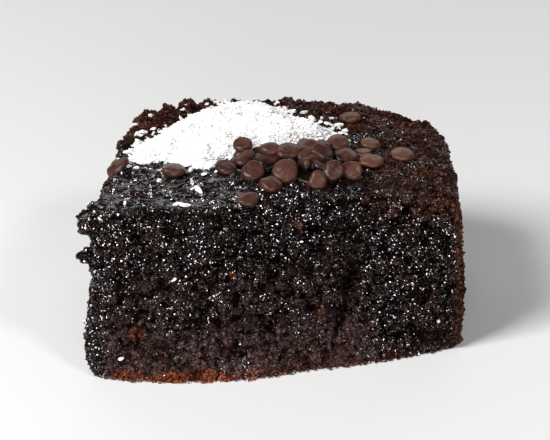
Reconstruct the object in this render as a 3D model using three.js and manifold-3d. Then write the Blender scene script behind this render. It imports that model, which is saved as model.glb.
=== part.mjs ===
import * as THREE from "three";
import { mergeVertices } from "three/addons/utils/BufferGeometryUtils.js";
import Module from "manifold-3d";

// A square piece of wet, dark chocolate cake. Its front is cut straight down, its top is a little
// domed and rounded over at the edges that were baked, and on it lie a heap of fine coconut flakes
// and a pile of chocolate drops.
// Millimetres. +Z is up, the cut face looks towards -Y, and the underside is flat at Z = 0.

const wasm = await Module();
wasm.setup();

// ---------- the cake's form ----------

const CROWN = 42.5; // height at the top of the dome
const WAIST = 24; // height of the corners' middle points
const CENTRE = [-1.39, -0.57]; // middle of the finished piece, in the plane the corners are given in

// Corners of the outline, anticlockwise from the front left, at the underside, the waist and the crown.
const CORNERS = [
  { base: [-46.2, -39.8], waist: [-43.9, -38.8], top: [-42.8, -37.2], radius: 5 },
  { base: [-14, -42.3], waist: [-14, -41], top: [-14, -38.2], radius: 60 },
  { base: [44.4, -24.4], waist: [43.9, -23.2], top: [42.4, -20.8], radius: 5 },
  { base: [41.5, 32], waist: [43.8, 32], top: [41, 30.5], radius: 9 },
  { base: [6, 40], waist: [6, 40.4], top: [6, 37.8], radius: 60 },
  { base: [-37, 36.5], waist: [-37, 36], top: [-35.6, 33.2], radius: 20 },
  { base: [-42, -8], waist: [-41, -8], top: [-39.6, -9], radius: 50 },
];
const FRONT_STEPS = 32; // columns along the front and along the back
const SIDE_STEPS = 25; // columns along each side
const COLUMNS = 2 * (FRONT_STEPS + SIDE_STEPS);
const LEVELS = [0, 0.03, 0.1, 0.2, 0.3, 0.4, 0.5, 0.6, 0.7, 0.8, 0.9, 1];
const EDGE_STEPS = 3; // steps of the rounding between the sides and the top
const CUT_EDGE = 1.3; // rounding of the top edge along the cut face
const BAKED_EDGE = 4.2; // rounding of the top edge elsewhere
const FOOT_INSET = 0.9; // how far the foot of the sides draws in at the underside

// ---------- small things that lie on it ----------

const GAP = 0.3; // clear space between neighbouring solids

// Drops that lie by themselves: place, height of the rim over the cake's top, width, height of the
// dome, nod towards the front and roll to the right in degrees.
const LONE_DROPS = [
  [-37.6, -12.8, 0.5, 5.6, 1.6, 10, -24],
  [-24.4, -16.6, 0.5, 5.9, 1.6, 4, 3],
  [-6.8, -33, 0, 5.2, 1.2, 8, 0],
  [22, -8.6, 0.5, 6.4, 1.4, 3, 2],
  [22.6, 2.6, 0.5, 4.9, 1.4, 2, 4],
  [20.4, -2.6, 0.1, 4, 1, 6, 0],
  [30.3, -1.2, 0.5, 6.1, 1.4, 4, 2],
  [18, 19.8, 0.5, 5.1, 1.5, 2, -3],
];

// Drops of the pile, in the same order of figures: those that show at the front, those behind
// them, then the upper ones.
const PILED_DROPS = [
  [-12.2, -16, 0.6, 5.4, 1.5, 12, 12],
  [-1.6, -26.4, 0.6, 5.4, 1.6, 12, 4],
  [9.4, -24.8, 1.6, 4.6, 1.2, 56, 4],
  [13, -19.1, 1.8, 5.3, 1.5, 48, 0],
  [17.4, -17.6, 1.4, 5, 1.5, 42, 4],
  [1.8, -20.7, 1.6, 6.2, 1.7, 36, -8],
  [-5.7, -20, 1.4, 5.3, 1.5, 38, -4],
  [-2.7, -14.9, 1.7, 5, 1.5, 20, 10],
  [-7.6, -13.3, 1.7, 5.1, 1.5, 24, -10],
  [0.4, -13.8, 1.4, 5, 1.5, 10, 0],
  [6.1, -17.1, 1.7, 4.6, 1.3, 24, -56],
  [8.7, -16, 1.7, 4.6, 1.3, 28, 50],
  [16, -9.4, 1.5, 6, 1.5, 6, 4],
  [6.7, -13.3, 2.6, 5.2, 1.6, 24, 0],
  [10.4, -11.9, 2.8, 5.6, 1.5, 34, 26],
  [-8.3, -8.8, 3.3, 4.7, 1.7, 14, -6],
  [-1.6, -11.4, 3.2, 5.1, 1.7, 12, 0],
  [2.7, -12.2, 3.1, 6.4, 1.6, 8, 4],
  [7.3, -8.9, 3.2, 6, 1.5, 4, -4],
  [10.6, -7.4, 2.9, 5.3, 1.5, 6, 6],
  [14.4, -4.8, 2.7, 5.7, 1.7, 14, 8],
];
const DROP_SIDES = 12;
const DROP_BELLY = 0.9; // depth of a drop under its rim
// Rings of a drop, from below: share of its radius, then share of the belly's depth (below 0) or
// of the dome's height.
const DROP_RINGS = [[0.74, -0.72], [1, 0], [0.74, 0.7]];

// Outline of the low core that the piled drops lie on, and its heights.
const PILE_OUTLINE = [
  [-12, -15.4], [-6, -18.8], [-1.8, -25.8], [1.6, -20.6], [9.2, -24.8], [12.8, -19], [17, -17],
  [17.6, -10.4], [16, -4], [8, -5.6], [1, -8.6], [-8.6, -6.8], [-11, -11],
];
const PILE_RIM = 0.9; // height of the core at its edge
const PILE_HEIGHT = 3;
const PILE_SHOULDER = 3.4; // distance from the edge over which the core rises
const PILE_SPREAD = 3; // how far the drops reach over the core's outline

// Outline of the coconut heap on the cake's top, and its height in the middle.
const HEAP_OUTLINE = [
  [-35.4, -8.8], [-29.6, -10], [-23.4, -10.6], [-18.6, -14], [-15, -12.2], [-9.6, -9], [-3, -7],
  [4, -4.4], [10.4, 1], [13.8, 6.6], [12.2, 10], [7.8, 14.6], [3.4, 21], [-1.8, 26.8],
  [-8.6, 29.4], [-16, 25], [-22.4, 18], [-27.4, 10.4], [-31, 3.2], [-34.6, -2.6],
];
const HEAP_MIDDLE = [-11, 8];
const FLAKES_SHOWN = 26; // flakes that stick out of the heap
const HEAP_HEIGHT = 3.9;
const HEAP_RIM = 0.9; // height at the heap's edge
const HEAP_SHOULDER = 9; // distance from the edge over which the heap rises
const HEAP_ROOT = 3; // how far down into the cake a heap goes before its foot is cut to fit
const SEAT_REACH = 44; // half the width of the block that the heaps' feet are cut with
const SEAT_STEPS = 12;

// Loose flakes on the cake's top: place and turn in degrees.
const LOOSE_FLAKES = [
  [-30, -23, 20], [-20.6, -26.6, -50], [-24.6, -34.2, 8], [-36.6, -33.6, 75],
  [-34.4, -15.4, 40], [-20, -18.4, 60],
  [15.6, 27, 30], [12.4, 21, 48], [19, 14.6, -28], [14.8, 15.4, 35], [-31.6, 24.4, 10],
];
const FLAKE = [2.3, 1.0, 0.8]; // length, width and thickness of a flake
const FLAKE_LIFT = 0.3; // height of a loose flake's middle over the cake's top

// Lumps of crumb that stick out: place, then half width, half depth and half height.
const LUMPS = [
  [-43, -34.6, 37, 3.9, 3.8, 2],
  [-44.2, -37, 36.4, 2.1, 1.8, 1.4],
  [-41.2, -30.4, 38.4, 2.4, 3.2, 1.4],
  [-44.2, -36.8, 30, 1.9, 1.9, 1.5],
  [42.4, -22.8, 2, 1.9, 2, 1.8],
  [24, 34, 38, 2, 1.8, 1.7],
  [37.6, 26.4, 35.2, 2.6, 2.8, 1.7],
];

// Hollows: place, half width, half depth, half height and lean to the left in degrees.
const HOLLOWS = [
  [16.6, -32.4, 21.6, 1.7, 5.6, 6.4, 4],
  [15.2, -33, 13.4, 1.2, 4, 4.6, 14],
  [37, -27.6, 4.6, 5.6, 4, 3.6, -4],
  [-11, -42.2, 8, 2.2, 2.2, 1.6, 0],
  [-4.5, -41.4, 7.8, 1.7, 2, 1.8, 0],
  [-28.5, -40, 35.2, 1.7, 2, 1.3, 0],
  [34.7, -26, 35, 1.9, 2.2, 1.6, 0],
];

// ---------- chance and relief ----------

// Even random numbers from 0 to 1, the same for the same seed.
function seeded(seed) {
  let state = seed >>> 0;
  return () => {
    state = (state + 0x6d2b79f5) >>> 0;
    let t = Math.imul(state ^ (state >>> 15), 1 | state);
    t = (t + Math.imul(t ^ (t >>> 7), 61 | t)) ^ t;
    return ((t ^ (t >>> 14)) >>> 0) / 4294967296;
  };
}

// A rise from 0 to 1 that starts and ends level.
function smooth(t) {
  const c = Math.min(1, Math.max(0, t));
  return c * c * (3 - 2 * c);
}

// One value from -1 to 1 for each point of a cubic lattice.
function lattice(i, j, k, seed) {
  let h = Math.imul(i, 374761393) + Math.imul(j, 668265263);
  h = (h + Math.imul(k, 1440662683) + Math.imul(seed, 1274126177)) | 0;
  h = Math.imul(h ^ (h >>> 13), 1274126177);
  return (((h ^ (h >>> 16)) >>> 0) / 4294967295) * 2 - 1;
}

// Rolling relief from -1 to 1 whose hills are about one size apart.
function noise(x, y, z, size, seed) {
  const q = [x / size, y / size, z / size];
  const cell = q.map(Math.floor);
  const part = q.map((value, axis) => smooth(value - cell[axis]));
  let sum = 0;
  for (let corner = 0; corner < 8; corner++) {
    const bits = [corner & 1, (corner >> 1) & 1, corner >> 2];
    const weight = bits.reduce((w, bit, axis) => w * (bit ? part[axis] : 1 - part[axis]), 1);
    sum += weight * lattice(cell[0] + bits[0], cell[1] + bits[1], cell[2] + bits[2], seed);
  }
  return sum;
}

// ---------- solids from surfaces ----------

// A closed solid from corner points and triangles.
function solidOf(points, triangles) {
  return new wasm.Manifold(
    new wasm.Mesh({
      numProp: 3,
      vertProperties: new Float32Array(points.flat()),
      triVerts: new Uint32Array(triangles.flat()),
    }),
  );
}

// A closed solid from a closed surface whose corners may be doubled.
function solidOfGeometry(geometry) {
  const bare = geometry.clone();
  bare.deleteAttribute("normal");
  bare.deleteAttribute("uv");
  const merged = mergeVertices(bare, 1e-3);
  return new wasm.Manifold(
    new wasm.Mesh({
      numProp: 3,
      vertProperties: merged.attributes.position.array,
      triVerts: new Uint32Array(merged.index.array),
    }),
  );
}

// The faceted surface of a closed solid.
function geometryOf(solid) {
  const mesh = solid.getMesh();
  const geometry = new THREE.BufferGeometry();
  geometry.setAttribute("position", new THREE.BufferAttribute(mesh.vertProperties, 3));
  geometry.setIndex(new THREE.BufferAttribute(mesh.triVerts, 1));
  const faceted = geometry.toNonIndexed();
  faceted.computeVertexNormals();
  return faceted;
}

// The largest of the separate bodies of a solid, without loose scraps.
function largest(solid) {
  return solid.decompose().reduce((best, body) => (body.volume() > best.volume() ? body : best));
}

// Triangles between one ring of points and the next ring above it, both anticlockwise.
function band(lower, upper, count) {
  const triangles = [];
  for (let i = 0; i < count; i++) {
    const next = (i + 1) % count;
    triangles.push([lower + i, lower + next, upper + next]);
    triangles.push([lower + i, upper + next, upper + i]);
  }
  return triangles;
}

// ---------- patches with four sides ----------

// Points inside a ring of wide + deep + wide + deep steps, each between its four sides.
// Returns, for each row from front to back, the indices of its points; new points are appended.
function fillRing(points, first, wide, deep, heightAt) {
  const count = 2 * (wide + deep);
  const front = (i) => first + i;
  const right = (j) => first + wide + j;
  const back = (i) => first + 2 * wide + deep - i;
  const left = (j) => first + ((count - j) % count);
  const rows = [];
  for (let j = 0; j <= deep; j++) {
    const row = [];
    for (let i = 0; i <= wide; i++) {
      if (j === 0) row.push(front(i));
      else if (j === deep) row.push(back(i));
      else if (i === 0) row.push(left(j));
      else if (i === wide) row.push(right(j));
      else {
        const u = i / wide;
        const v = j / deep;
        const place = [0, 1].map((axis) => {
          const at = (index) => points[index][axis];
          const across = (1 - v) * at(front(i)) + v * at(back(i));
          const along = (1 - u) * at(left(j)) + u * at(right(j));
          const low = (1 - u) * at(front(0)) + u * at(front(wide));
          const high = (1 - u) * at(back(0)) + u * at(back(wide));
          return across + along - (1 - v) * low - v * high;
        });
        row.push(points.length);
        points.push([place[0], place[1], heightAt(place[0], place[1])]);
      }
    }
    rows.push(row);
  }
  return rows;
}

// Triangles that face up over the rows of a patch; the shorter way across each square is used.
function patchTriangles(points, rows) {
  const triangles = [];
  const apart = (a, b) => Math.hypot(...points[a].map((value, axis) => value - points[b][axis]));
  for (let j = 0; j + 1 < rows.length; j++) {
    for (let i = 0; i + 1 < rows[j].length; i++) {
      const [a, b, c, d] = [rows[j][i], rows[j][i + 1], rows[j + 1][i + 1], rows[j + 1][i]];
      if (apart(a, c) < apart(b, d)) triangles.push([a, b, c], [a, c, d]);
      else triangles.push([a, b, d], [b, c, d]);
    }
  }
  return triangles;
}

// ---------- outlines ----------

// How far a place is from a closed line, below 0 inside it.
function beyond(ring, x, y) {
  let nearest = Infinity;
  let inside = false;
  ring.forEach(([ax, ay], index) => {
    const [bx, by] = ring[(index + 1) % ring.length];
    const along = ((x - ax) * (bx - ax) + (y - ay) * (by - ay)) / ((bx - ax) ** 2 + (by - ay) ** 2);
    const t = Math.min(1, Math.max(0, along));
    nearest = Math.min(nearest, Math.hypot(x - ax - t * (bx - ax), y - ay - t * (by - ay)));
    if (ay > y !== by > y && x < ax + ((y - ay) * (bx - ax)) / (by - ay)) inside = !inside;
  });
  return inside ? -nearest : nearest;
}

// How far a place is outside both heaps.
function beyondHeaps(x, y) {
  return Math.max(0, Math.min(beyond(HEAP_OUTLINE, x, y), beyond(PILE_OUTLINE, x, y) - PILE_SPREAD));
}

// A closed smooth line through the given places.
function smoothLine(places, steps) {
  const curve = new THREE.CatmullRomCurve3(
    places.map(([x, y]) => new THREE.Vector3(x, y, 0)),
    true,
    "centripetal",
  );
  return curve.getSpacedPoints(steps).slice(0, steps).map((p) => [p.x, p.y]);
}

// A closed line round corners with given radii, and how far along it the middle of each corner is.
function roundedLine(corners) {
  const line = [];
  const middles = [];
  const ARC_STEPS = 12;
  corners.forEach(({ x, y, radius }, index) => {
    const before = corners[(index + corners.length - 1) % corners.length];
    const after = corners[(index + 1) % corners.length];
    const here = new THREE.Vector2(x, y);
    const u = new THREE.Vector2(before.x, before.y).sub(here).normalize();
    const v = new THREE.Vector2(after.x, after.y).sub(here).normalize();
    const half = Math.acos(Math.min(1, Math.max(-1, u.dot(v)))) / 2;
    const reach = radius / Math.tan(half);
    const middle = u.clone().add(v).normalize().multiplyScalar(radius / Math.sin(half)).add(here);
    const start = u.multiplyScalar(reach).add(here).sub(middle);
    const end = v.multiplyScalar(reach).add(here).sub(middle);
    let turn = end.angle() - start.angle();
    turn -= 2 * Math.PI * Math.round(turn / (2 * Math.PI));
    for (let step = 0; step <= ARC_STEPS; step++) {
      const angle = start.angle() + (turn * step) / ARC_STEPS;
      if (step === ARC_STEPS / 2) middles.push(line.length);
      line.push([middle.x + radius * Math.cos(angle), middle.y + radius * Math.sin(angle)]);
    }
  });
  return { line, middles };
}

// Evenly spaced points on a closed line from one of its points to another, without the last.
function evenPoints(line, from, to, steps) {
  const count = line.length;
  const path = [];
  const last = to > from ? to : to + count;
  for (let i = from; i <= last; i++) path.push(line[i % count]);
  const along = [0];
  for (let i = 1; i < path.length; i++) {
    const step = Math.hypot(path[i][0] - path[i - 1][0], path[i][1] - path[i - 1][1]);
    along.push(along[i - 1] + step);
  }
  const points = [];
  let i = 1;
  for (let step = 0; step < steps; step++) {
    const target = (along[along.length - 1] * step) / steps;
    while (along[i] < target) i++;
    const t = (target - along[i - 1]) / (along[i] - along[i - 1]);
    points.push([0, 1].map((axis) => path[i - 1][axis] * (1 - t) + path[i][axis] * t));
  }
  return points;
}

// The four sides of the cake's outline at one of the three given levels, as columns.
function columnsOf(level) {
  const corners = CORNERS.map((c) => ({ x: c[level][0], y: c[level][1], radius: c.radius }));
  const { line, middles } = roundedLine(corners);
  return [
    ...evenPoints(line, middles[0], middles[2], FRONT_STEPS),
    ...evenPoints(line, middles[2], middles[3], SIDE_STEPS),
    ...evenPoints(line, middles[3], middles[5], FRONT_STEPS),
    ...evenPoints(line, middles[5], middles[0], SIDE_STEPS),
  ];
}

const BASE_COLUMNS = columnsOf("base");
const WAIST_COLUMNS = columnsOf("waist");
const TOP_COLUMNS = columnsOf("top");

// Where a column stands at a height: each follows a parabola through its three given points.
function columnAt(index, z) {
  const s = z / CROWN;
  const w = WAIST / CROWN;
  const low = ((s - w) * (s - 1)) / w;
  const middle = (s * (s - 1)) / (w * (w - 1));
  const high = (s * (s - w)) / (1 - w);
  return [0, 1].map(
    (axis) =>
      BASE_COLUMNS[index][axis] * low +
      WAIST_COLUMNS[index][axis] * middle +
      TOP_COLUMNS[index][axis] * high,
  );
}

// Height of the cake's top before its relief.
function topHeight(x, y) {
  const across = 2.4 * ((x + 6) / 44) ** 2 + 3 * (Math.max(x, 0) / 44) ** 3;
  return CROWN - across - 1.2 * ((y - 2) / 44) ** 2;
}

// ---------- the sponge ----------

// Which way is out from the cake at a column, seen from above.
function outward(index) {
  const a = TOP_COLUMNS[(index + COLUMNS - 1) % COLUMNS];
  const b = TOP_COLUMNS[(index + 1) % COLUMNS];
  const length = Math.hypot(b[0] - a[0], b[1] - a[1]);
  return [(b[1] - a[1]) / length, (a[0] - b[0]) / length];
}

// Relief of the surface: a fine, flat crumb on the cut face, long low wrinkles on the glazed
// part of the top, a rougher crust elsewhere, roughest at the rim at the back left, and next to
// nothing under the heaps.
function relief([x, y, z], normal) {
  const cut = smooth((-normal[1] - 0.6) / 0.25);
  const top = smooth((normal[2] - 0.6) / 0.3);
  const glaze = top * smooth((-6 - x) / 8) * smooth((-12 - y) / 5);
  const rim = smooth((-10 - x) / 8) * smooth((y - 2) / 6) * smooth((z - 34) / 4);
  const swell = noise(x, y, z, 13, 1);
  const crag = noise(x, y, z, 5.5, 2);
  const crumb = noise(x, y, z, 2.9, 3);
  const wrinkle = noise(x / 3.2, y, z, 3.1, 4);
  const crust = 0.55 * swell + (0.5 + 0.7 * rim) * crag + (0.35 + 0.6 * rim) * crumb;
  const flat = 0.25 * swell + 0.3 * crag + 0.4 * crumb;
  const glazed = 0.3 * swell + 0.42 * wrinkle;
  const bare = normal[2] > 0.6 ? 1 - 0.95 * smooth(1 - beyondHeaps(x, y) / 3) : 1;
  return bare * (cut * flat + glaze * glazed + (1 - cut - glaze) * crust);
}

// The plain body: rings round the sides from the underside up, then a patch over the top.
function spongeBody() {
  const points = [];
  const triangles = [];
  const rings = LEVELS.length + EDGE_STEPS;
  for (let ring = 0; ring < rings; ring++) {
    for (let index = 0; index < COLUMNS; index++) {
      const out = outward(index);
      const front = smooth((-out[1] - 0.55) / 0.35);
      const edge = BAKED_EDGE + (CUT_EDGE - BAKED_EDGE) * front;
      let crest = CROWN - 3;
      for (let tries = 0; tries < 3; tries++) crest = topHeight(...columnAt(index, crest));
      const wall = crest - edge;
      let height = wall;
      let inset = 0;
      if (ring < LEVELS.length) {
        height = wall * LEVELS[ring];
        inset = FOOT_INSET * (1 - smooth(height / 3));
      } else {
        const turn = ((ring - LEVELS.length + 1) / EDGE_STEPS) * (Math.PI / 2);
        height = wall + edge * Math.sin(turn);
        inset = edge * (1 - Math.cos(turn));
      }
      const [x, y] = columnAt(index, Math.min(height, CROWN));
      points.push([x - out[0] * inset, y - out[1] * inset, height]);
    }
    if (ring > 0) triangles.push(...band((ring - 1) * COLUMNS, ring * COLUMNS, COLUMNS));
  }
  const last = (rings - 1) * COLUMNS;
  const rows = fillRing(points, last, FRONT_STEPS, SIDE_STEPS, topHeight);
  triangles.push(...patchTriangles(points, rows));
  const middle = points.length;
  points.push([0, 0, 0]);
  for (let i = 0; i < COLUMNS; i++) triangles.push([middle, (i + 1) % COLUMNS, i]);
  return solidOf(roughened(points, triangles), triangles);
}

// The same points moved along their normals by the relief, with the underside kept flat.
function roughened(points, triangles) {
  const geometry = new THREE.BufferGeometry();
  geometry.setAttribute("position", new THREE.Float32BufferAttribute(points.flat(), 3));
  geometry.setIndex(triangles.flat());
  geometry.computeVertexNormals();
  const normals = geometry.attributes.normal;
  return points.map((point, index) => {
    const normal = [normals.getX(index), normals.getY(index), normals.getZ(index)];
    const rise = relief(point, normal);
    if (point[2] === 0) return [point[0] + normal[0] * rise, point[1] + normal[1] * rise, 0];
    return point.map((value, axis) => value + normal[axis] * rise);
  });
}

// ---------- shapes of the small things ----------

// An uneven lump with the given half sizes.
function lump(place, halves, seed) {
  const ball = new THREE.IcosahedronGeometry(1, 1).rotateX(seed);
  const at = ball.attributes.position;
  for (let i = 0; i < at.count; i++) {
    const [x, y, z] = [at.getX(i), at.getY(i), at.getZ(i)];
    const swell = 1 + 0.3 * noise(x, y, z, 0.7, seed);
    at.setXYZ(i, x * swell, y * swell, z * swell);
  }
  return solidOfGeometry(ball.scale(...halves).translate(...place));
}

// A hollow to be taken away: a smooth ball with the given half sizes, leaning to the left.
function hollow([x, y, z, wide, deep, high, lean]) {
  const ball = new THREE.IcosahedronGeometry(1, 1).scale(wide, deep, high);
  return solidOfGeometry(ball.rotateY((lean * Math.PI) / 180).translate(x, y, z));
}

// A chocolate drop: a dome over a shallow belly, meeting in a rim. More makes it that much larger
// all round.
function drop([x, y, lift, width, dome, nod, roll], more) {
  const points = [];
  const triangles = [];
  const radius = width / 2 + more;
  DROP_RINGS.forEach(([share, level], ring) => {
    const height = level * ((level < 0 ? DROP_BELLY : dome) + more);
    for (let i = 0; i < DROP_SIDES; i++) {
      const angle = (2 * Math.PI * i) / DROP_SIDES;
      points.push([radius * share * Math.cos(angle), radius * share * Math.sin(angle), height]);
    }
    if (ring > 0) triangles.push(...band((ring - 1) * DROP_SIDES, ring * DROP_SIDES, DROP_SIDES));
  });
  const under = points.length;
  points.push([0, 0, -(DROP_BELLY + more)], [0, 0, dome + more]);
  const top = (DROP_RINGS.length - 1) * DROP_SIDES;
  for (let i = 0; i < DROP_SIDES; i++) {
    const next = (i + 1) % DROP_SIDES;
    triangles.push([under, next, i], [under + 1, top + i, top + next]);
  }
  const turn = new THREE.Euler((nod * Math.PI) / 180, (roll * Math.PI) / 180, 0, "YXZ");
  const spot = new THREE.Vector3(x, y, topHeight(x, y) + lift);
  const placed = points.map((p) => {
    const moved = new THREE.Vector3(...p).applyEuler(turn).add(spot);
    return [moved.x, moved.y, moved.z];
  });
  return solidOf(placed, triangles);
}

// A flake of coconut lying half sunk on the cake's top.
function flake([x, y, turn]) {
  const slab = new THREE.BoxGeometry(...FLAKE).rotateZ((turn * Math.PI) / 180);
  return solidOfGeometry(slab.translate(x, y, topHeight(x, y) + FLAKE_LIFT));
}

// ---------- heaps ----------

// A solid between a ring of wide + deep + wide + deep steps, lowered to bottomAt, and a patch at
// heightAt over the same ring.
function raisedPatch(ring, wide, deep, bottomAt, heightAt) {
  const points = ring.map(([x, y]) => [x, y, bottomAt(x, y)]);
  points.push(...ring.map(([x, y]) => [x, y, heightAt(x, y)]));
  const triangles = band(0, ring.length, ring.length);
  const rows = fillRing(points, ring.length, wide, deep, heightAt);
  triangles.push(...patchTriangles(points, rows));
  const middle = points.length;
  const [x, y] = [0, 1].map((axis) => ring.reduce((sum, p) => sum + p[axis], 0) / ring.length);
  points.push([x, y, bottomAt(x, y)]);
  ring.forEach((_, i) => triangles.push([middle, (i + 1) % ring.length, i]));
  return solidOf(points, triangles);
}

// A heap that goes a little down into the cake.
// Rise gives its height over the cake's top at a place and its distance from the edge.
function heap(outline, wide, deep, rise) {
  const ring = smoothLine(outline, 2 * (wide + deep));
  const heightAt = (x, y) => topHeight(x, y) + rise(x, y, Math.max(0, -beyond(ring, x, y)));
  const bottomAt = (x, y) => topHeight(x, y) - HEAP_ROOT;
  return raisedPatch(ring, wide, deep, bottomAt, heightAt);
}

// Height of the coconut heap: an uneven mound with bumps of the flakes' size.
function coconutRise(x, y, distance) {
  const mound = HEAP_RIM + (HEAP_HEIGHT - HEAP_RIM) * smooth(distance / HEAP_SHOULDER);
  const uneven = 0.45 * noise(x, y, 0, 9, 21) + 0.3 * noise(x, y, 0, 4, 22);
  const bumps = 0.75 * noise(x, y, 0, 2.2, 23);
  return mound + uneven * smooth(distance / 3) + bumps;
}

// Height of the core under the piled drops.
function pileRise(_x, _y, distance) {
  return PILE_RIM + (PILE_HEIGHT - PILE_RIM) * smooth(distance / PILE_SHOULDER);
}

// ---------- putting it together ----------

// Lumps of crust along the crumbly rim at the back left.
function rimLumps() {
  const random = seeded(7);
  const lumps = [];
  const first = 2 * FRONT_STEPS + SIDE_STEPS - 7;
  for (let index = first; index < first + 20; index += 3) {
    const [x, y] = columnAt(index, CROWN - 3);
    const out = outward(index);
    const inset = 3.2 + 1.6 * random();
    const place = [x - out[0] * inset, y - out[1] * inset];
    const halves = [1.8 + 1.2 * random(), 1.8 + 1.2 * random(), 1.1 + 0.5 * random()];
    lumps.push(lump([...place, topHeight(...place) - 0.6], halves, 40 + index));
  }
  return lumps;
}

// A broad block whose top lies the gap over the cake's: the heaps' feet are cut with it.
function seat() {
  const ring = [];
  for (const [x, y, dx, dy] of [[-1, -1, 1, 0], [1, -1, 0, 1], [1, 1, -1, 0], [-1, 1, 0, -1]]) {
    for (let i = 0; i < SEAT_STEPS; i++) {
      const t = (2 * i) / SEAT_STEPS;
      ring.push([SEAT_REACH * (x + dx * t), SEAT_REACH * (y + dy * t)]);
    }
  }
  const heightAt = (x, y) => topHeight(x, y) + GAP;
  return raisedPatch(ring, SEAT_STEPS, SEAT_STEPS, () => WAIST, heightAt);
}

// Flakes of coconut that stick out of the heap at its edge and on its top.
function heapFlakes() {
  const random = seeded(11);
  return smoothLine(HEAP_OUTLINE, FLAKES_SHOWN).map((spot, i) => {
    const share = i % 2 ? random() : 0.97;
    const [x, y] = [0, 1].map((axis) => HEAP_MIDDLE[axis] + (spot[axis] - HEAP_MIDDLE[axis]) * share);
    const height = coconutRise(x, y, Math.max(0, -beyond(HEAP_OUTLINE, x, y))) + 0.1;
    const slab = new THREE.BoxGeometry(...FLAKE).rotateY(0.5 * (random() - 0.5));
    slab.rotateZ(Math.PI * random()).translate(x, y, topHeight(x, y) + height);
    return solidOfGeometry(slab);
  });
}

let sponge = spongeBody();
for (const place of HOLLOWS) sponge = sponge.subtract(hollow(place));
LUMPS.forEach(([x, y, z, ...halves], i) => {
  sponge = sponge.add(lump([x, y, z], halves, 60 + i));
});
for (const piece of rimLumps()) sponge = sponge.add(piece);
for (const row of LONE_DROPS) sponge = sponge.add(drop(row, 0));
for (const row of LOOSE_FLAKES) sponge = sponge.add(flake(row));
sponge = largest(sponge);

// What the heaps must clear: the seat, and the lone drops enlarged by the gap.
let clearance = seat();
for (const row of LONE_DROPS) clearance = clearance.add(drop(row, GAP));

let drops = heap(PILE_OUTLINE, 10, 7, pileRise);
let dropsClearance = drops.translate(0, 0, GAP);
for (const row of PILED_DROPS) {
  drops = drops.add(drop(row, 0));
  dropsClearance = dropsClearance.add(drop(row, GAP));
}
drops = largest(drops.subtract(clearance));

let coconut = heap(HEAP_OUTLINE, 31, 22, coconutRise);
for (const piece of heapFlakes()) coconut = coconut.add(piece);
coconut = largest(coconut.subtract(clearance).subtract(dropsClearance));

// ---------- the named pieces ----------

const part = new THREE.Group();
part.name = "brownie";

function addNode(name, solid, color, roughness) {
  const material = new THREE.MeshStandardMaterial({ color, roughness, metalness: 0 });
  const mesh = new THREE.Mesh(geometryOf(solid), material);
  mesh.name = name;
  mesh.geometry.translate(-CENTRE[0], -CENTRE[1], 0);
  part.add(mesh);
}

addNode("sponge", sponge, 0x2b1711, 0.45);
addNode("coconut", coconut, 0xf3f0e8, 0.85);
addNode("chocolate_drops", drops, 0x56382c, 0.4);

export default part;
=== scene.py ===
import math

import bmesh
import bpy
import numpy as np
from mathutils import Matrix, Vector
from mathutils.kdtree import KDTree


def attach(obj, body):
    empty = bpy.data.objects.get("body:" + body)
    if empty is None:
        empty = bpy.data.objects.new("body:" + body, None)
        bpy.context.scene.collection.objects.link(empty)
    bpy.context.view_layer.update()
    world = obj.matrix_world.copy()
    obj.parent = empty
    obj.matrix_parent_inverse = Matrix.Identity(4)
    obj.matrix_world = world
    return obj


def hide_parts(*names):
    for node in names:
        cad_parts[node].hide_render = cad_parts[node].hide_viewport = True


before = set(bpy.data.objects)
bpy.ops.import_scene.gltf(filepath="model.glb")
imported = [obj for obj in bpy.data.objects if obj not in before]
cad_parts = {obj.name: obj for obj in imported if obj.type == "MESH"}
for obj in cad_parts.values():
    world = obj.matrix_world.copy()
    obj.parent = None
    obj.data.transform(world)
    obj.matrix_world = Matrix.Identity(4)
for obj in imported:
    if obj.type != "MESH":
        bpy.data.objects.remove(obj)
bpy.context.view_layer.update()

# A square piece of wet, dark chocolate cake with a heap of coconut flakes and chocolate drops.
# X runs to the right, Y to the back and Z up. Lengths are in millimetres from an origin of the cake's
# own up to the last step of each piece, where placed() moves them to the frame, in metres.

# ---------- the cake's form ----------

CROWN = 42.5  # height at the top of the dome
WAIST = 24.0  # height of the corners' middle points
CENTRE = np.array([-1.39, -0.57, 0.0])  # where the frame's origin is

# Corners of the outline, anticlockwise from the front left, at the underside, waist and crown.
CORNER_BASE = [(-46.2, -39.8), (-14, -42.3), (44.4, -24.4), (41.5, 32), (6, 40), (-37, 36.5), (-42, -8)]
CORNER_WAIST = [(-43.9, -38.8), (-14, -41), (43.9, -23.2), (43.8, 32), (6, 40.4), (-37, 36), (-41, -8)]
CORNER_TOP = [(-42.8, -37.2), (-14, -38.2), (42.4, -20.8), (41, 30.5), (6, 37.8), (-35.6, 33.2), (-39.6, -9)]
CORNER_RADIUS = [5, 60, 5, 9, 60, 20, 50]  # how round each corner is, at every level
FRONT_TOP_LINE = tuple(zip(*CORNER_TOP[:3]))  # x and y along the front's top edge
SIDES = [(0, 2), (2, 3), (3, 5), (5, 0)]  # corners at the two ends of the front, right, back and left

CUT_EDGE = 1.3  # rounding of the top edge along the cut face
BAKED_EDGE = 4.2  # rounding of the top edge elsewhere
EDGE_BLEND = 3.5  # width of the band where the top's height is led to that of its edge
FOOT_INSET = 0.9  # how far the foot of the sides draws in at the underside
FOOT_SWELL = 1.6  # how far the crumbly foot of the cut face spreads in the middle
FOOT_TUCK = 1.2  # how far the foot of the front left corner draws in

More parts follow.
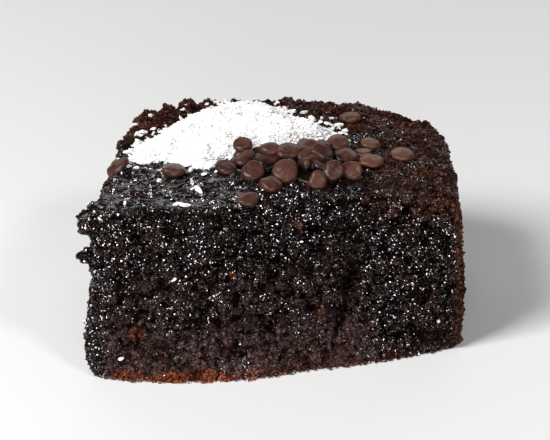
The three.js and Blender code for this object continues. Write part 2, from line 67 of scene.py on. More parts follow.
CUT_STEP = 0.25  # grid of the cut face
CRUST_STEP = 0.55  # grid of the other sides
TOP_STEP = 0.33  # grid of the top
BASE_STEP = 2.2  # grid of the underside
SIDE_LENGTHS = [92.0, 57.0, 81.0, 77.0]  # front, right, back and left, which the steps are counted on
SIDE_RISE = 44.0  # up a side and over its rounded edge
CAP_SIZE = (84.0, 74.0)  # the top's width and depth
CAP_REACH = 40.0  # from the top's middle to its edge
FACET_ROUGHNESS = 0.065  # random height of each point of the skin

# ---------- small things that lie on it ----------

# Drops: place, height of the rim over the cake's top, width, height of the dome, nod towards the
# front and roll to the right in degrees.
LONE_DROPS = [
    (-37.6, -12.8, 0.6, 5.8, 1.4, 4, -38),
    (-24.4, -16.6, 0.5, 5.9, 1.6, 4, 3),
    (-6.8, -33, 0, 5.2, 1.2, 8, 0),
    (22, -8.6, 0.5, 6.4, 1.4, 3, 2),
    (22.6, 2.6, 0.5, 4.9, 1.4, 2, 4),
    (20.4, -2.6, 0.1, 4, 1, 6, 0),
    (30.3, -1.2, 0.5, 6.1, 1.4, 4, 2),
    (18, 19.8, 0.5, 5.1, 1.5, 2, -3),
]
PILED_DROPS = [
    (-12.2, -16, 0.6, 5.4, 1.5, 12, 12),
    (-1.6, -26.4, 0.6, 5.4, 1.6, 12, 4),
    (9.4, -24.8, 1.6, 4.6, 1.2, 56, 4),
    (13, -19.1, 1.8, 5.3, 1.5, 48, 0),
    (17.4, -17.6, 1.4, 5, 1.5, 42, 4),
    (1.8, -20.7, 1.6, 6.2, 1.7, 36, -8),
    (-5.7, -20, 1.4, 5.3, 1.5, 38, -4),
    (-2.7, -14.9, 1.7, 5, 1.5, 20, 10),
    (-7.6, -13.3, 1.7, 5.1, 1.5, 24, -10),
    (0.4, -13.8, 1.4, 5, 1.5, 10, 0),
    (6.1, -17.1, 1.7, 4.6, 1.3, 24, -56),
    (8.7, -16, 1.7, 4.6, 1.3, 28, 50),
    (16, -9.4, 1.5, 6, 1.5, 6, 4),
    (6.7, -13.3, 2.6, 5.2, 1.6, 24, 0),
    (10.4, -11.9, 2.8, 5.6, 1.5, 34, 26),
    (-8.3, -8.8, 3.3, 4.7, 1.7, 14, -6),
    (-1.6, -11.4, 3.2, 5.1, 1.7, 12, 0),
    (2.7, -12.2, 3.1, 6.4, 1.6, 8, 4),
    (7.3, -8.9, 3.2, 6, 1.5, 4, -4),
    (10.6, -7.4, 2.9, 5.3, 1.5, 6, 6),
    (14.4, -4.8, 2.7, 5.7, 1.7, 14, 8),
]
DROP_BELLY = 0.9  # depth of a drop under its rim
DROP_RIM = 0.06  # height of the dome's foot over the rim
DROP_FLATTENED = 0.8  # how high the dome's rings reach, as a share of its height
DROP_SIDES = 36
BELLY_RINGS = 6
DOME_RINGS = 12
DROP_POINTS = (BELLY_RINGS + DOME_RINGS) * DROP_SIDES + 2

PILE_OUTLINE = [
    (-12, -15.4), (-6, -18.8), (-1.8, -25.8), (1.6, -20.6), (9.2, -24.8), (12.8, -19), (17, -17),
    (17.6, -10.4), (16, -4), (8, -5.6), (1, -8.6), (-8.6, -6.8), (-11, -11),
]
PILE_RIM = 0.9  # height of the model's pile at its outline
PILE_HEIGHT = 3.0  # and in its middle
PILE_SHOULDER = 3.4  # how far inside the outline it has that height
PILE_SPREAD = 3.0  # how far the drops reach over the outline
PILE_GRID = (40, 28)  # steps across and from front to back
CORE_SUNK = 2.4  # how much lower the core under the drops is
FILLER_SPACING = 4.6  # between the drops that fill the pile
FILLER_SUNK = 1.9  # how far their rims lie under the model's pile
FILLER_WIDTH = 4.8  # their least width
FILLER_DOME = 1.5  # height of their domes
FILLER_TILT = 28.0  # spread of their nod and roll in degrees
CORE_PAINTED_SHADE = 0.8  # how dark the core is painted, as shade between the drops, where 1 is the darkest

HEAP_OUTLINE = [
    (-35.4, -8.8), (-29.6, -10), (-23.4, -10.6), (-18.6, -14), (-15, -12.2), (-9.6, -9), (-3, -7),
    (4, -4.4), (10.4, 1), (13.8, 6.6), (12.2, 10), (7.8, 14.6), (3.4, 21), (-1.8, 26.8),
    (-8.6, 29.4), (-16, 25), (-22.4, 18), (-27.4, 10.4), (-31, 3.2), (-34.6, -2.6),
]
HEAP_HEIGHT = 3.9  # in its middle
HEAP_RIM = 0.9  # height at its outline
HEAP_SHOULDER = 9.0  # how far inside the outline it has its full height
HEAP_GRID = (124, 88)  # steps across and from front to back
BACK_LOWER = 0.8  # how much lower the heap is towards the back
HEAP_ROOT = 0.6  # how far both heaps reach under the cake's plain top

# Loose flakes on the cake's top: place and turn in degrees.
LOOSE_FLAKES = [
    (-27.5, -22.7, 80), (-18.2, -27.0, -50), (-22.9, -33.8, 8), (-23.6, 28.2, 25), (-16.1, 31.9, 5),
    (-27.2, -14.5, 35), (13.7, 20.9, 45), (15.2, 14.4, 10), (10.5, 13.6, 40), (12.8, 14.7, -20),
    (13.7, 11.6, 60), (12.2, 8.5, 10), (-20.9, -35.2, 0), (-33.1, 11.0, 20),
]
FLAKE_LIFT = 0.3  # height of a loose flake's middle over the skin

# Smaller bits on the top, as LOOSE_FLAKES.
STRAY_BITS = [
    (-35.3, 15.5, 30), (-34.4, 8.1, 60), (-31.6, 22.4, 20), (-26.6, 25.8, 40), (-35.1, -12.5, 20),
    (-33.4, -13.4, 10), (-17.2, -18.2, 0), (-34.8, -32.8, 85), (-20.3, -16.1, 60), (-15.7, -12.5, -20),
    (-33.6, 8.0, 0), (-31.7, 4.2, 50), (-28.7, 11.4, 10), (10.0, 8.5, 0), (8.9, 17.1, 30),
    (15.6, 10.2, 15), (11.1, 18.1, 70),
]
STRAY_SIZE = 0.62  # their length and width, as a share of a loose flake's

# Bits of coconut on the cut face: place along it, height and length.
# The last, at the top of the right hollow, is a small white bit put where a highlight shows: a painted
# highlight.
FACE_BITS = [(-23.7, 25.3, 1.5), (-36.4, 4.9, 1.3), (38.3, 7.4, 0.9)]

# How many small things there are.
HEAP_FLAKES = 8500
FRINGE_FLAKES = 520
CUT_CRUMBS = 18000
CRUST_CRUMBS = 17500
CLOTS = 500
FOOT_CRUMBS = 1000

# Lumps of crumb that stick out: place, then half width, half depth and half height.
LUMPS = [
    (-43, -34.6, 37, 3.9, 3.8, 2),
    (-44.2, -37, 36.4, 2.1, 1.8, 1.4),
    (-41.2, -30.4, 38.4, 2.4, 3.2, 1.4),
    (-44.2, -36.8, 29.3, 1.9, 1.9, 1.5),
    (42.4, -22.8, 2, 1.9, 2, 1.8),
    (24, 34, 38, 2, 1.8, 1.7),
    (37.6, 26.4, 35.2, 2.6, 2.8, 1.7),
    (15, 33.6, 37.6, 10, 5, 3.6),
]
LUMP_REACH = 3.6  # the furthest that a lump pushes the skin out
RIM_LUMP_COUNT = 12  # about how many more there are along the crumbly rim

# Hollows: place, half width, half depth, half height and lean to the left in degrees.
HOLLOWS = [
    (16.6, -32.4, 21.6, 2.4, 6.6, 7.4, 4),
    (15.2, -33, 13.4, 1.6, 4, 5, 14),
    (36.8, -27.6, 3.4, 6.2, 4.4, 3.9, -4),
    (-11, -42.2, 8, 2.2, 2.2, 1.6, 0),
    (-4.5, -41.4, 7.8, 1.7, 2, 1.8, 0),
    (-28.5, -40, 35.2, 1.7, 2, 1.3, 0),
    (34.7, -26, 35, 1.9, 2.2, 1.6, 0),
]
HOLLOW_SHARE = 0.75  # how deep they are made, as a share of the half depth given

# Specks of paler crumb on the cut face: place along it and height, and radius.
RUST_SPECKS = [(4.7, 35.7, 0.8), (-32.6, 11.6, 1.4), (-10.4, 25.8, 0.7), (9.6, 15, 0.8)]

# ---------- colours ----------

# The crumb's linear colours: the span of grain that each is mixed over, its darkest and its palest.
CRUMB_COLORS = {
    "dark": (0.3, 1.1, (0.003, 0.0014, 0.0013, 1), (0.05, 0.024, 0.023, 1)),
    "dry": (0.1, 1.0, (0.006, 0.0029, 0.0026, 1), (0.155, 0.09, 0.083, 1)),
    "red": (0.1, 1.1, (0.002, 0.0007, 0.0005, 1), (0.055, 0.018, 0.013, 1)),
    "brown": (0.1, 1.1, (0.005, 0.0016, 0.001, 1), (0.19, 0.06, 0.035, 1)),
    "baked": (0.0, 1.1, (0.018, 0.0045, 0.002, 1), (0.39, 0.102, 0.042, 1)),
}
COCONUT_COLORS = ((0.84, 0.833, 0.822, 1), (0.89, 0.884, 0.875, 1))
CHOCOLATE_COLORS = ((0.027, 0.0096, 0.0065, 1), (0.076, 0.029, 0.0198, 1))
CHOCOLATE_PALE = (0.15, 0.064, 0.043, 1)  # of the palest drops
CHOCOLATE_PAINTED_SHADE = (0.003, 0.001, 0.0007, 1)  # painted shade deep between the drops, on their bellies and on the core
CHOCOLATE_WORN = (0.018, 0.0065, 0.0046, 1)  # of the small specks
FLOOR_COLORS = ((0.75, 0.75, 0.745, 1), (0.77, 0.77, 0.765, 1))

# ---------- camera and light ----------

CAMERA_PLACE = (-0.578, -499.746, 235.002)
CAMERA_PITCH = 23.0  # degrees below the horizon
CAMERA_LENS = 145.08  # focal length and width of the sensor
CAMERA_SENSOR = 36.0

# Soft lamps: bearing from the camera's side to the right, elevation in degrees, distance, width and
# height, and radiance, where a white wall in full light is 1.
LAMPS = {
    "window": (-54, 42, 1100, 440, 440, 25.0),
    "side_window": (38, 40, 1100, 190, 190, 28.0),
    "low_window": (2, 9, 1100, 560, 150, 24.0),
    "back_wall": (180, 30, 1100, 1700, 560, 1.4),
}
WORLD_LIGHT = 0.03
FLOOR_HALF = 3.0  # half the floor's width, in metres
FLOOR_DROP = 0.0001  # how far it lies under the cake, in metres

# ---------- chance and relief ----------


def smooth(t):
    """A rise from 0 to 1 that starts and ends level."""
    c = np.clip(t, 0.0, 1.0)
    return c * c * (3.0 - 2.0 * c)


def lattice(cell, seed):
    """One value from -1 to 1 for each point of a cubic lattice."""
    i, j, k = (cell[..., axis].astype(np.int64) for axis in range(3))
    h = (i * 374761393 + j * 668265263 + k * 1440662683 + seed * 1274126177) & 0xFFFFFFFF
    h = ((h ^ (h >> 13)) * 1274126177) & 0xFFFFFFFF
    return (h ^ (h >> 16)) / 4294967295.0 * 2.0 - 1.0


def noise(p, size, seed):
    """Rolling relief from -1 to 1 whose hills are about one size apart."""
    q = np.asarray(p, float) / size
    cell = np.floor(q)
    part = smooth(q - cell)
    total = np.zeros(q.shape[:-1])
    for corner in range(8):
        bits = np.array([corner & 1, (corner >> 1) & 1, corner >> 2], float)
        weight = np.prod(np.where(bits > 0, part, 1.0 - part), axis=-1)
        total += weight * lattice(cell + bits, seed)
    return total


def cells(p, size, seed):
    """Distances, in sizes, to the nearest and the next nearest of points strewn one to a cell."""
    q = np.asarray(p, float) / size
    cell = np.floor(q)
    nearest = np.full(q.shape[:-1], 9.0)
    second = nearest.copy()
    for step in np.ndindex(3, 3, 3):
        near = cell + (np.array(step) - 1.0)
        spot = np.stack([lattice(near, seed + axis) for axis in range(3)], -1)
        away = np.linalg.norm(near + 0.5 + 0.48 * spot - q, axis=-1)
        second = np.minimum(second, np.maximum(nearest, away))
        nearest = np.minimum(nearest, away)
    return nearest, second


# ---------- outlines ----------


def beyond(ring, x, y):
    """How far places are from a closed line, below 0 inside it."""
    x, y = np.asarray(x, float), np.asarray(y, float)
    nearest = np.full(x.shape, 1e9)
    inside = np.zeros(x.shape, bool)
    for (ax, ay), (bx, by) in zip(ring, np.roll(ring, -1, axis=0)):
        along = ((x - ax) * (bx - ax) + (y - ay) * (by - ay)) / ((bx - ax) ** 2 + (by - ay) ** 2)
        t = np.clip(along, 0.0, 1.0)
        nearest = np.minimum(nearest, np.hypot(x - ax - t * (bx - ax), y - ay - t * (by - ay)))
        if ay != by:
            crossed = ((ay > y) != (by > y)) & (x < ax + (y - ay) * (bx - ax) / (by - ay))
            inside ^= crossed
    return np.where(inside, -nearest, nearest)


def beyond_heaps(x, y):
    """How far places are outside both heaps."""
    nearest = np.minimum(beyond(HEAP_OUTLINE, x, y), beyond(PILE_OUTLINE, x, y) - PILE_SPREAD)
    return np.maximum(0.0, nearest)


def smooth_line(places, steps):
    """A closed smooth line through the given places, in even steps."""
    p = np.array(places, float)
    t = np.linspace(0, 1, 24, endpoint=False)[:, None]
    fine = []
    for i in range(len(p)):
        a, b, c, d = (p[(i + k) % len(p)] for k in (-1, 0, 1, 2))
        square, cube = (2 * a - 5 * b + 4 * c - d) * t**2, (3 * b - a - 3 * c + d) * t**3
        fine.append(0.5 * (2 * b + (c - a) * t + square + cube))
    return even_points(np.vstack(fine + [p[:1]]), steps)


def even_points(path, steps):
    """Evenly spaced points on an open line, without its last."""
    along = np.r_[0, np.cumsum(np.linalg.norm(np.diff(path, axis=0), axis=1))]
    at = np.linspace(0, along[-1], steps, endpoint=False)
    return np.stack([np.interp(at, along, path[:, axis]) for axis in range(path.shape[1])], -1)


def rounded_line(corners):
    """A closed line round corners with given radii, and where on it each corner's middle is."""
    line, middles, arc_steps = [], [], 24
    count = len(corners)
    for index, (corner, radius) in enumerate(zip(corners, CORNER_RADIUS)):
        here = np.array(corner, float)
        u = np.array(corners[index - 1], float) - here
        v = np.array(corners[(index + 1) % count], float) - here
        u, v = u / np.linalg.norm(u), v / np.linalg.norm(v)
        half = math.acos(min(1.0, max(-1.0, float(u @ v)))) / 2
        way = (u + v) / np.linalg.norm(u + v)
        middle = here + way * radius / math.sin(half)
        start = here + u * radius / math.tan(half) - middle
        end = here + v * radius / math.tan(half) - middle
        first = math.atan2(start[1], start[0])
        turn = math.atan2(end[1], end[0]) - first
        turn -= 2 * math.pi * round(turn / (2 * math.pi))
        for step in range(arc_steps + 1):
            if step == arc_steps // 2:
                middles.append(len(line))
            angle = first + turn * step / arc_steps
            line.append(middle + radius * np.array([math.cos(angle), math.sin(angle)]))
    return np.array(line), middles


def columns_of(corners, counts):
    """The four sides of the cake's outline at one level, as columns."""
    line, middles = rounded_line(corners)
    sides = []
    for (first, last), steps in zip(SIDES, counts):
        start, end = middles[first], middles[last]
        end += len(line) if end <= start else 0
        path = line[np.arange(start, end + 1) % len(line)]
        sides.append(even_points(path, steps))
    return np.vstack(sides)


class Columns:
    """The upright lines that the cake's sides are made of."""

    def __init__(self, counts):
        self.base = columns_of(CORNER_BASE, counts)
        self.waist = columns_of(CORNER_WAIST, counts)
        self.top = columns_of(CORNER_TOP, counts)
        way = np.roll(self.top, -1, axis=0) - np.roll(self.top, 1, axis=0)
        way /= np.linalg.norm(way, axis=1)[:, None]
        self.out = np.stack([way[:, 1], -way[:, 0]], -1)

    def at(self, z):
        """Where each column stands at its height z: a parabola through its three given points."""
        s, w = np.asarray(z)[:, None] / CROWN, WAIST / CROWN
        low = (s - w) * (s - 1) / w
        middle = s * (s - 1) / (w * (w - 1))
        high = s * (s - w) / (1 - w)
        return self.base * low + self.waist * middle + self.top * high


def top_height(x, y):
    """Height of the cake's top before its relief."""
    across = 2.4 * ((x + 6) / 44) ** 2 + 3 * (np.maximum(x, 0) / 44) ** 3
    return CROWN - across - 1.2 * ((y - 2) / 44) ** 2


# ---------- meshes ----------


def zipped(left, right, points):
    """Triangles between two rows of points, the left one on the left seen from outside."""
    a = along_share(points[left])
    b = along_share(points[right])
    triangles, i, j = [], 0, 0
    while i + 1 < len(left) or j + 1 < len(right):
        step_left = j + 1 == len(right) or (i + 1 < len(left) and a[i + 1] <= b[j + 1])
        if step_left:
            triangles.append((left[i], right[j], left[i + 1]))
            i += 1
        else:
            triangles.append((left[i], right[j], right[j + 1]))
            j += 1
    return triangles


def along_share(path):
    """How far along a line each of its points is, from 0 to 1."""
    along = np.r_[0, np.cumsum(np.linalg.norm(np.diff(path, axis=0), axis=1))]
    return along / along[-1]


def grid_triangles(index):
    """Triangles over a grid of point numbers, rows upward and columns to the right."""
    a, b, c, d = index[:-1, :-1], index[:-1, 1:], index[1:, 1:], index[1:, :-1]
    flip = (np.add.outer(np.arange(a.shape[0]), np.arange(a.shape[1])) % 2).astype(bool)
    first = np.where(flip[..., None], np.stack([a, b, c], -1), np.stack([a, b, d], -1))
    second = np.where(flip[..., None], np.stack([a, c, d], -1), np.stack([b, c, d], -1))
    return np.concatenate([first.reshape(-1, 3), second.reshape(-1, 3)])


def coons(ring, wide, deep):
    """Places of a grid inside a ring of wide + deep + wide + deep steps."""
    front = ring[: wide + 1]
    right = ring[wide : wide + deep + 1]
    back = ring[wide + deep : 2 * wide + deep + 1][::-1]
    left = np.vstack([ring[2 * wide + deep :], ring[:1]])[::-1]
    u = np.linspace(0, 1, wide + 1)[None, :, None]
    v = np.linspace(0, 1, deep + 1)[:, None, None]
    across = (1 - v) * front[None] + v * back[None]
    along = (1 - u) * left[:, None] + u * right[:, None]
    low = (1 - u) * front[0] + u * front[-1]
    high = (1 - u) * back[0] + u * back[-1]
    return across + along - (1 - v) * low - v * high


def ring_of(grid):
    """The point numbers round the edge of a grid, in the order of its ring."""
    return np.concatenate([grid[0, :-1], grid[:-1, -1], grid[-1, :0:-1], grid[:0:-1, 0]])


def vertex_normals(points, triangles):
    """The way out at each point, from the faces round it."""
    a, b, c = (points[triangles[:, k]] for k in range(3))
    face = np.cross(b - a, c - a)
    normals = np.zeros_like(points)
    for k in range(3):
        np.add.at(normals, triangles[:, k], face)
    return normals / np.maximum(np.linalg.norm(normals, axis=1), 1e-12)[:, None]


def placed(points):
    """Points in the frame, in metres."""
    return (np.asarray(points) - CENTRE) * 0.001


def film_on(points, faces):
    """How much syrup stays on each facet: most on those that face up."""
    a, b, c = (points[faces[:, k]] for k in range(3))
    facing = np.cross(b - a, c - a)
    up = facing[:, 2] / np.maximum(np.linalg.norm(facing, axis=1), 1e-12)
    return smooth((up + 0.12) / 0.3)


def mesh_object(name, shape, node, slot, marks=None, faceted=False):
    """A piece that stands for a node of the model, painted as its slot."""
    mesh = bpy.data.meshes.new(name)
    points, triangles = shape
    mesh.vertices.add(len(points))
    points = np.c_[points[:, :2], np.maximum(points[:, 2], 0.0)]
    mesh.vertices.foreach_set("co", placed(points).astype(np.float32).ravel())
    faces = np.asarray(triangles, np.int32)
    mesh.loops.add(faces.size)
    mesh.loops.foreach_set("vertex_index", faces.ravel())
    mesh.polygons.add(len(faces))
    mesh.polygons.foreach_set("loop_start", np.arange(0, faces.size, 3, dtype=np.int32))
    mesh.polygons.foreach_set("use_smooth", np.full(len(faces), not faceted))
    for mark, values in (marks or {}).items():
        made = mesh.attributes.new(mark, "FLOAT", "POINT")
        made.data.foreach_set("value", np.asarray(values, np.float32))
    if marks and faceted:
        made = mesh.attributes.new("film", "FLOAT", "FACE")
        made.data.foreach_set("value", film_on(points, faces).astype(np.float32))
    mesh.update(calc_edges=True)
    mesh.validate()
    mesh.materials.append(PAINTS[slot])
    piece = bpy.data.objects.new(name, mesh)
    bpy.context.collection.objects.link(piece)
    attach(piece, "root")
    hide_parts(node)


# ---------- the sponge's skin ----------


def meeting(ring, inner, height):
    """Heights of places inside a ring, led to the ring's own height near it."""
    tree = KDTree(len(ring))
    for index, (x, y, _) in enumerate(ring):
        tree.insert((x, y, 0.0), index)
    tree.balance()
    nearest = [tree.find((x, y, 0.0))[1:] for x, y in inner.reshape(-1, 2)]
    index, away = (np.array(values).reshape(height.shape) for values in zip(*nearest))
    share = smooth(1 - away / EDGE_BLEND)
    return height + share * (ring[index.astype(int), 2] - height)


def plain_skin():
    """The cake's plain surface: points, triangles, and the columns of its sides."""
    steps = [CUT_STEP] + [CRUST_STEP] * 3
    counts = [round(length / step) for length, step in zip(SIDE_LENGTHS, steps)]
    columns = Columns(counts)
    front = smooth((-columns.out[:, 1] - 0.55) / 0.35)
    edge = BAKED_EDGE + (CUT_EDGE - BAKED_EDGE) * front
    crest = np.full(len(front), CROWN - 3)
    for _ in range(3):
        crest = top_height(*(columns.at(crest) - columns.out * 0.6 * edge[:, None]).T)
    wall = crest - edge

    points, grids = [], []

    def side(first, last, step):
        """A grid up the columns from first to last, each level at an even share of its length."""
        chosen = np.arange(first, last)
        levels = round(SIDE_RISE / step) + 1
        grid = []
        for share in np.linspace(0, 1, levels):
            along = share * (wall + edge * math.pi / 2)
            turn = np.maximum(0, along - wall) / edge
            height = np.minimum(along, wall) + edge * np.sin(turn)
            inset = FOOT_INSET * (1 - smooth(height / 3)) + edge * (1 - np.cos(turn))
            place = columns.at(np.minimum(height, CROWN)) - columns.out * inset[:, None]
            row = np.c_[place, height][chosen]
            grid.append(np.arange(len(row)) + sum(map(len, points)))
            points.append(row)
        grids.append(np.array(grid))

    side(0, counts[0], CUT_STEP)
    side(counts[0], sum(counts), CRUST_STEP)
    cut, crust = grids

    top_ring = np.concatenate([cut[-1], crust[-1]])
    base_ring = np.concatenate([cut[0], crust[0]])
    all_points = np.vstack(points)
    triangles = [grid_triangles(cut), grid_triangles(crust)]
    triangles.append(zipped(cut[:, -1], crust[:, 0], all_points))
    triangles.append(zipped(crust[:, -1], cut[:, 0], all_points))

    def cap(ring, step, height_at, upward):
        """A grid inside a ring, joined to it."""
        nonlocal all_points
        outline = all_points[ring][:, :2]
        middle = outline.mean(0)
        pulled = middle + (outline - middle) * (1 - 0.5 * step / CAP_REACH)
        starts = np.cumsum([0] + counts)
        size = [round(length / step) for length in CAP_SIZE]
        closed = np.vstack([pulled, pulled[:1]])
        parts = [even_points(closed[starts[k] : starts[k + 1] + 1], size[k % 2]) for k in range(4)]
        inner = coons(np.vstack(parts), *size)
        height = height_at(inner[..., 0], inner[..., 1])
        if upward:
            height = meeting(all_points[ring], inner, height)
        grid = np.arange(height.size).reshape(height.shape) + len(all_points)
        all_points = np.vstack([all_points, np.dstack([inner, height]).reshape(-1, 3)])
        edge_ring = ring_of(grid)
        outer = np.r_[ring, ring[:1]]
        inside = np.r_[edge_ring, edge_ring[:1]]
        faces = grid_triangles(grid)
        joint = np.array(zipped(inside, outer, all_points))
        if not upward:
            faces, joint = faces[:, ::-1], joint[:, ::-1]
        triangles.extend([faces, joint])

    cap(top_ring, TOP_STEP, top_height, True)
    cap(base_ring, BASE_STEP, lambda x, y: 0.0 * x, False)
    return all_points, np.vstack([np.asarray(t, int) for t in triangles]), columns, cut.size


def zones(p, normal):
    """Shares of each place that are cut face, top, glaze, crumbly rim and bare of the heaps."""
    x, y, z = p.T
    cut = smooth((-normal[:, 1] - 0.6) / 0.25)
    top = smooth((normal[:, 2] - 0.6) / 0.3)
    ragged = noise(p, 5, 82) + 0.7 * noise(p, 1.8, 83)
    behind = y - np.interp(x, *FRONT_TOP_LINE)
    glaze = top * smooth((-3 - x + 4 * ragged) / 5) * smooth((-8.5 - y) / 3)
    glaze = glaze * smooth((behind - 1.4 - 1.1 * ragged) / 1.2) * smooth((x + 42 - ragged) / 2)
    rim = smooth((-10 - x) / 8) * smooth((y - 2) / 6) * smooth((z - 34) / 4)
    bare = np.where(normal[:, 2] > 0.6, 1 - 0.95 * smooth(1 - beyond_heaps(x, y) / 3), 1.0)
    return cut, top, glaze, rim, bare


def coarse_relief(p, normal):
    """The relief that the model's solid has too."""
    cut, _, glaze, rim, bare = zones(p, normal)
    swell = noise(p, 13, 1)
    crag = noise(p, 5.5, 2)
    crumb = noise(p, 2.9, 3)
    wrinkle = noise(p / np.array([3.2, 1, 1]), 3.1, 4)
    crust = 0.55 * swell + (0.5 + 0.7 * rim) * crag + (0.35 + 0.6 * rim) * crumb
    flat = 0.25 * swell + 0.3 * crag + 0.4 * crumb
    glazed = 0.3 * swell + 0.42 * wrinkle
    return bare * (cut * flat + glaze * glazed + (1 - cut - glaze) * crust)


def clumps(p, size, seed):
    """Lumps of crumb, highest in their middles, and the lines where they meet."""
    nearest, second = cells(p, size, seed)
    return 0.5 - nearest, smooth(1 - (second - nearest) / 0.16)


def fine_relief(p, normal):
    """Pores, crumbs and wrinkles too fine for the model's solid."""
    cut, _, glaze, rim, _ = zones(p, normal)
    bent = p + 0.5 * np.stack([noise(p, 1.9, seed) for seed in (66, 67, 68)], -1)
    big, gap = clumps(bent, 2.6, 45)
    small, _ = clumps(bent, 1.15, 31)
    tiny, _ = clumps(p, 0.6, 41)
    calm = 1 - 0.6 * smooth((14 - p[:, 2]) / 7) * (1 - smooth((p[:, 0] - 18) / 8))
    gap *= smooth((noise(p, 3.4, 54) + 0.2) / 0.5) * calm
    pore = smooth((noise(p, 1.9, 51) - 0.28) / 0.3) * calm
    crumb = 0.8 * big + 0.8 * small + 0.5 * tiny - 0.7 * gap - 1.3 * pore
    rough = 0.6 * big + 0.6 * small + 0.4 * tiny - 0.4 * gap - 0.5 * pore
    warped = p + 0.7 * np.stack([noise(p, 4, seed) for seed in (61, 62, 63)], -1)
    fold = np.abs(noise(warped / np.array([3.4, 1, 1]), 1.4, 64))
    ripple = np.abs(noise(warped / np.array([2.8, 1, 1]), 0.85, 65))
    glazed = fold + 0.7 * ripple - 0.5
    craggy = (1 + 0.9 * rim) * rough
    under = 0.3 + 0.7 * smooth(p[:, 2] / 0.8)
    return under * (cut * crumb + glaze * glazed + (1 - cut - glaze) * craggy)


def hollow_reach(p, hollow):
    """How far places are from a hollow's middle on the cut face, where 1 is its plain outline."""
    x, _, z, wide, _, high, lean = hollow
    turn = math.radians(lean)
    dx, dz = p[:, 0] - x, p[:, 2] - z
    across = (dx * math.cos(turn) - dz * math.sin(turn)) / wide
    up = (dx * math.sin(turn) + dz * math.cos(turn)) / high
    return np.hypot(across, up)


def with_hollows(p, normal):
    """How far each place sinks into the hollows."""
    sink = np.zeros(len(p))
    ragged = 0.45 * noise(p, 1.9, 71) + 0.2 * noise(p, 0.8, 72)
    for hollow in HOLLOWS:
        _, y, _, _, deep, _, _ = hollow
        away = hollow_reach(p, hollow) + ragged
        floor = y + HOLLOW_SHARE * deep * np.clip(1 - away**2, 0, 1)
        depth = np.clip(floor - p[:, 1], 0, None) * (away < 1) * (normal[:, 1] < -0.3)
        sink = np.maximum(sink, depth)
    return sink


def hollow_shade(p):
    """How far inside a hollow's outline each place of the cut face is, from 0 to 1."""
    return np.max([smooth(1.5 * (1.15 - hollow_reach(p, hollow))) for hollow in HOLLOWS], axis=0)


def with_lumps(p, normal, lumps):
    """How far each place is pushed out over the lumps."""
    rise = np.zeros(len(p))
    for x, y, z, wide, deep, high in lumps:
        size = np.array([wide, deep, high])
        start = (p - np.array([x, y, z])) / size
        way = normal / size
        a = (way**2).sum(1)
        b = (start * way).sum(1)
        c = (start**2).sum(1) - 1
        root = b**2 - a * c
        far = (-b + np.sqrt(np.maximum(root, 0))) / a
        rise = np.where(root > 0, np.maximum(rise, np.clip(far, 0, LUMP_REACH)), rise)
    return rise


def rim_lumps(columns):
    """Lumps of crust along the crumbly rim at the back left."""
    random = np.random.default_rng(7)
    chosen = [k for k in range(len(columns.out)) if columns.top[k][0] < 2 and columns.top[k][1] > -14]
    lumps = []
    stand = columns.at(np.full(len(columns.out), CROWN - 3))
    for index in chosen[:: max(1, len(chosen) // RIM_LUMP_COUNT)]:
        inset = 3.2 + 1.6 * random.random()
        x, y = stand[index] - columns.out[index] * inset
        wide, deep = 1.6 + 1.2 * random.random(2)
        lumps.append((x, y, float(top_height(x, y)) - 0.6, wide, deep, 1.1 + 0.5 * random.random()))
    return lumps


def foot_swell(p):
    """How far the foot of the cut face spreads towards the front."""
    x, y, z = p.T
    along = smooth((x + 41) / 12) * smooth((46 - x) / 8)
    uneven = 0.75 + 0.35 * noise(p, 4.5, 84) + 0.35 * noise(p, 1.7, 85)
    return FOOT_SWELL * smooth(1 - z / 4.5) * along * smooth((-y - 22) / 8) * uneven


def foot_tuck(p):
    """How far the foot of the front left corner draws in to the right."""
    x, y, z = p.T
    return FOOT_TUCK * smooth(1 - z / 6) * smooth((-38 - x) / 6) * smooth((-30 - y) / 6)


class Skin:
    """The sponge's finished surface, and what the small things that lie on it ask of it."""

    def __init__(self):
        points, self.triangles, columns, self.cut_count = plain_skin()
        self.out = vertex_normals(points, self.triangles)
        self.fine = fine_relief(points, self.out)
        rise = coarse_relief(points, self.out) + self.fine
        rise += with_lumps(points, self.out, LUMPS + rim_lumps(columns))
        base = points[:, 2] <= 0
        rise = np.where(base, np.minimum(rise, 0.2), rise)
        moved = points + self.out * rise[:, None]
        self.sunk = with_hollows(moved, self.out)
        moved[:, 1] += self.sunk
        moved[:, 1] -= foot_swell(points)
        moved[:, 0] += foot_tuck(points)
        rough = FACET_ROUGHNESS * np.random.default_rng(5).normal(size=len(points))
        rough *= (1 - zones(points, self.out)[2]) * (points[:, 2] > 0.3)
        moved += self.out * rough[:, None]
        moved[base, 2] = 0
        inward = base & (np.linalg.norm(self.out[:, :2], axis=1) < 0.2)
        moved[inward, 2] = np.maximum(0, 0.25 * noise(points[inward], 3, 81))
        moved[:, 2] = np.maximum(moved[:, 2], 0)
        self.points = moved
        self.tree = self.tree_of(np.flatnonzero(self.out[:, 2] > 0.5))

    def tree_of(self, chosen):
        """The chosen points by their places seen from above."""
        tree = KDTree(len(chosen))
        for index in chosen:
            tree.insert((self.points[index, 0], self.points[index, 1], 0.0), int(index))
        tree.balance()
        return tree

    def height_under(self, places):
        """Its height under places on the cake's top."""
        return np.array([self.points[self.tree.find((x, y, 0.0))[1], 2] for x, y in places])

    def spread(self, weight, count, random):
        """Places drawn with the given weight for each point, and the way out at each place."""
        corner = self.points[self.triangles]
        face = np.cross(corner[:, 1] - corner[:, 0], corner[:, 2] - corner[:, 0])
        share = 0.5 * np.linalg.norm(face, axis=1) * weight[self.triangles].mean(1)
        chosen = random.choice(len(corner), count, p=share / share.sum())
        u = random.dirichlet((1, 1, 1), count)[..., None]
        place = (corner[chosen] * u).sum(1)
        out = (self.out[self.triangles[chosen]] * u).sum(1)
        return place, out / np.linalg.norm(out, axis=1)[:, None]


# ---------- masks of colour ----------


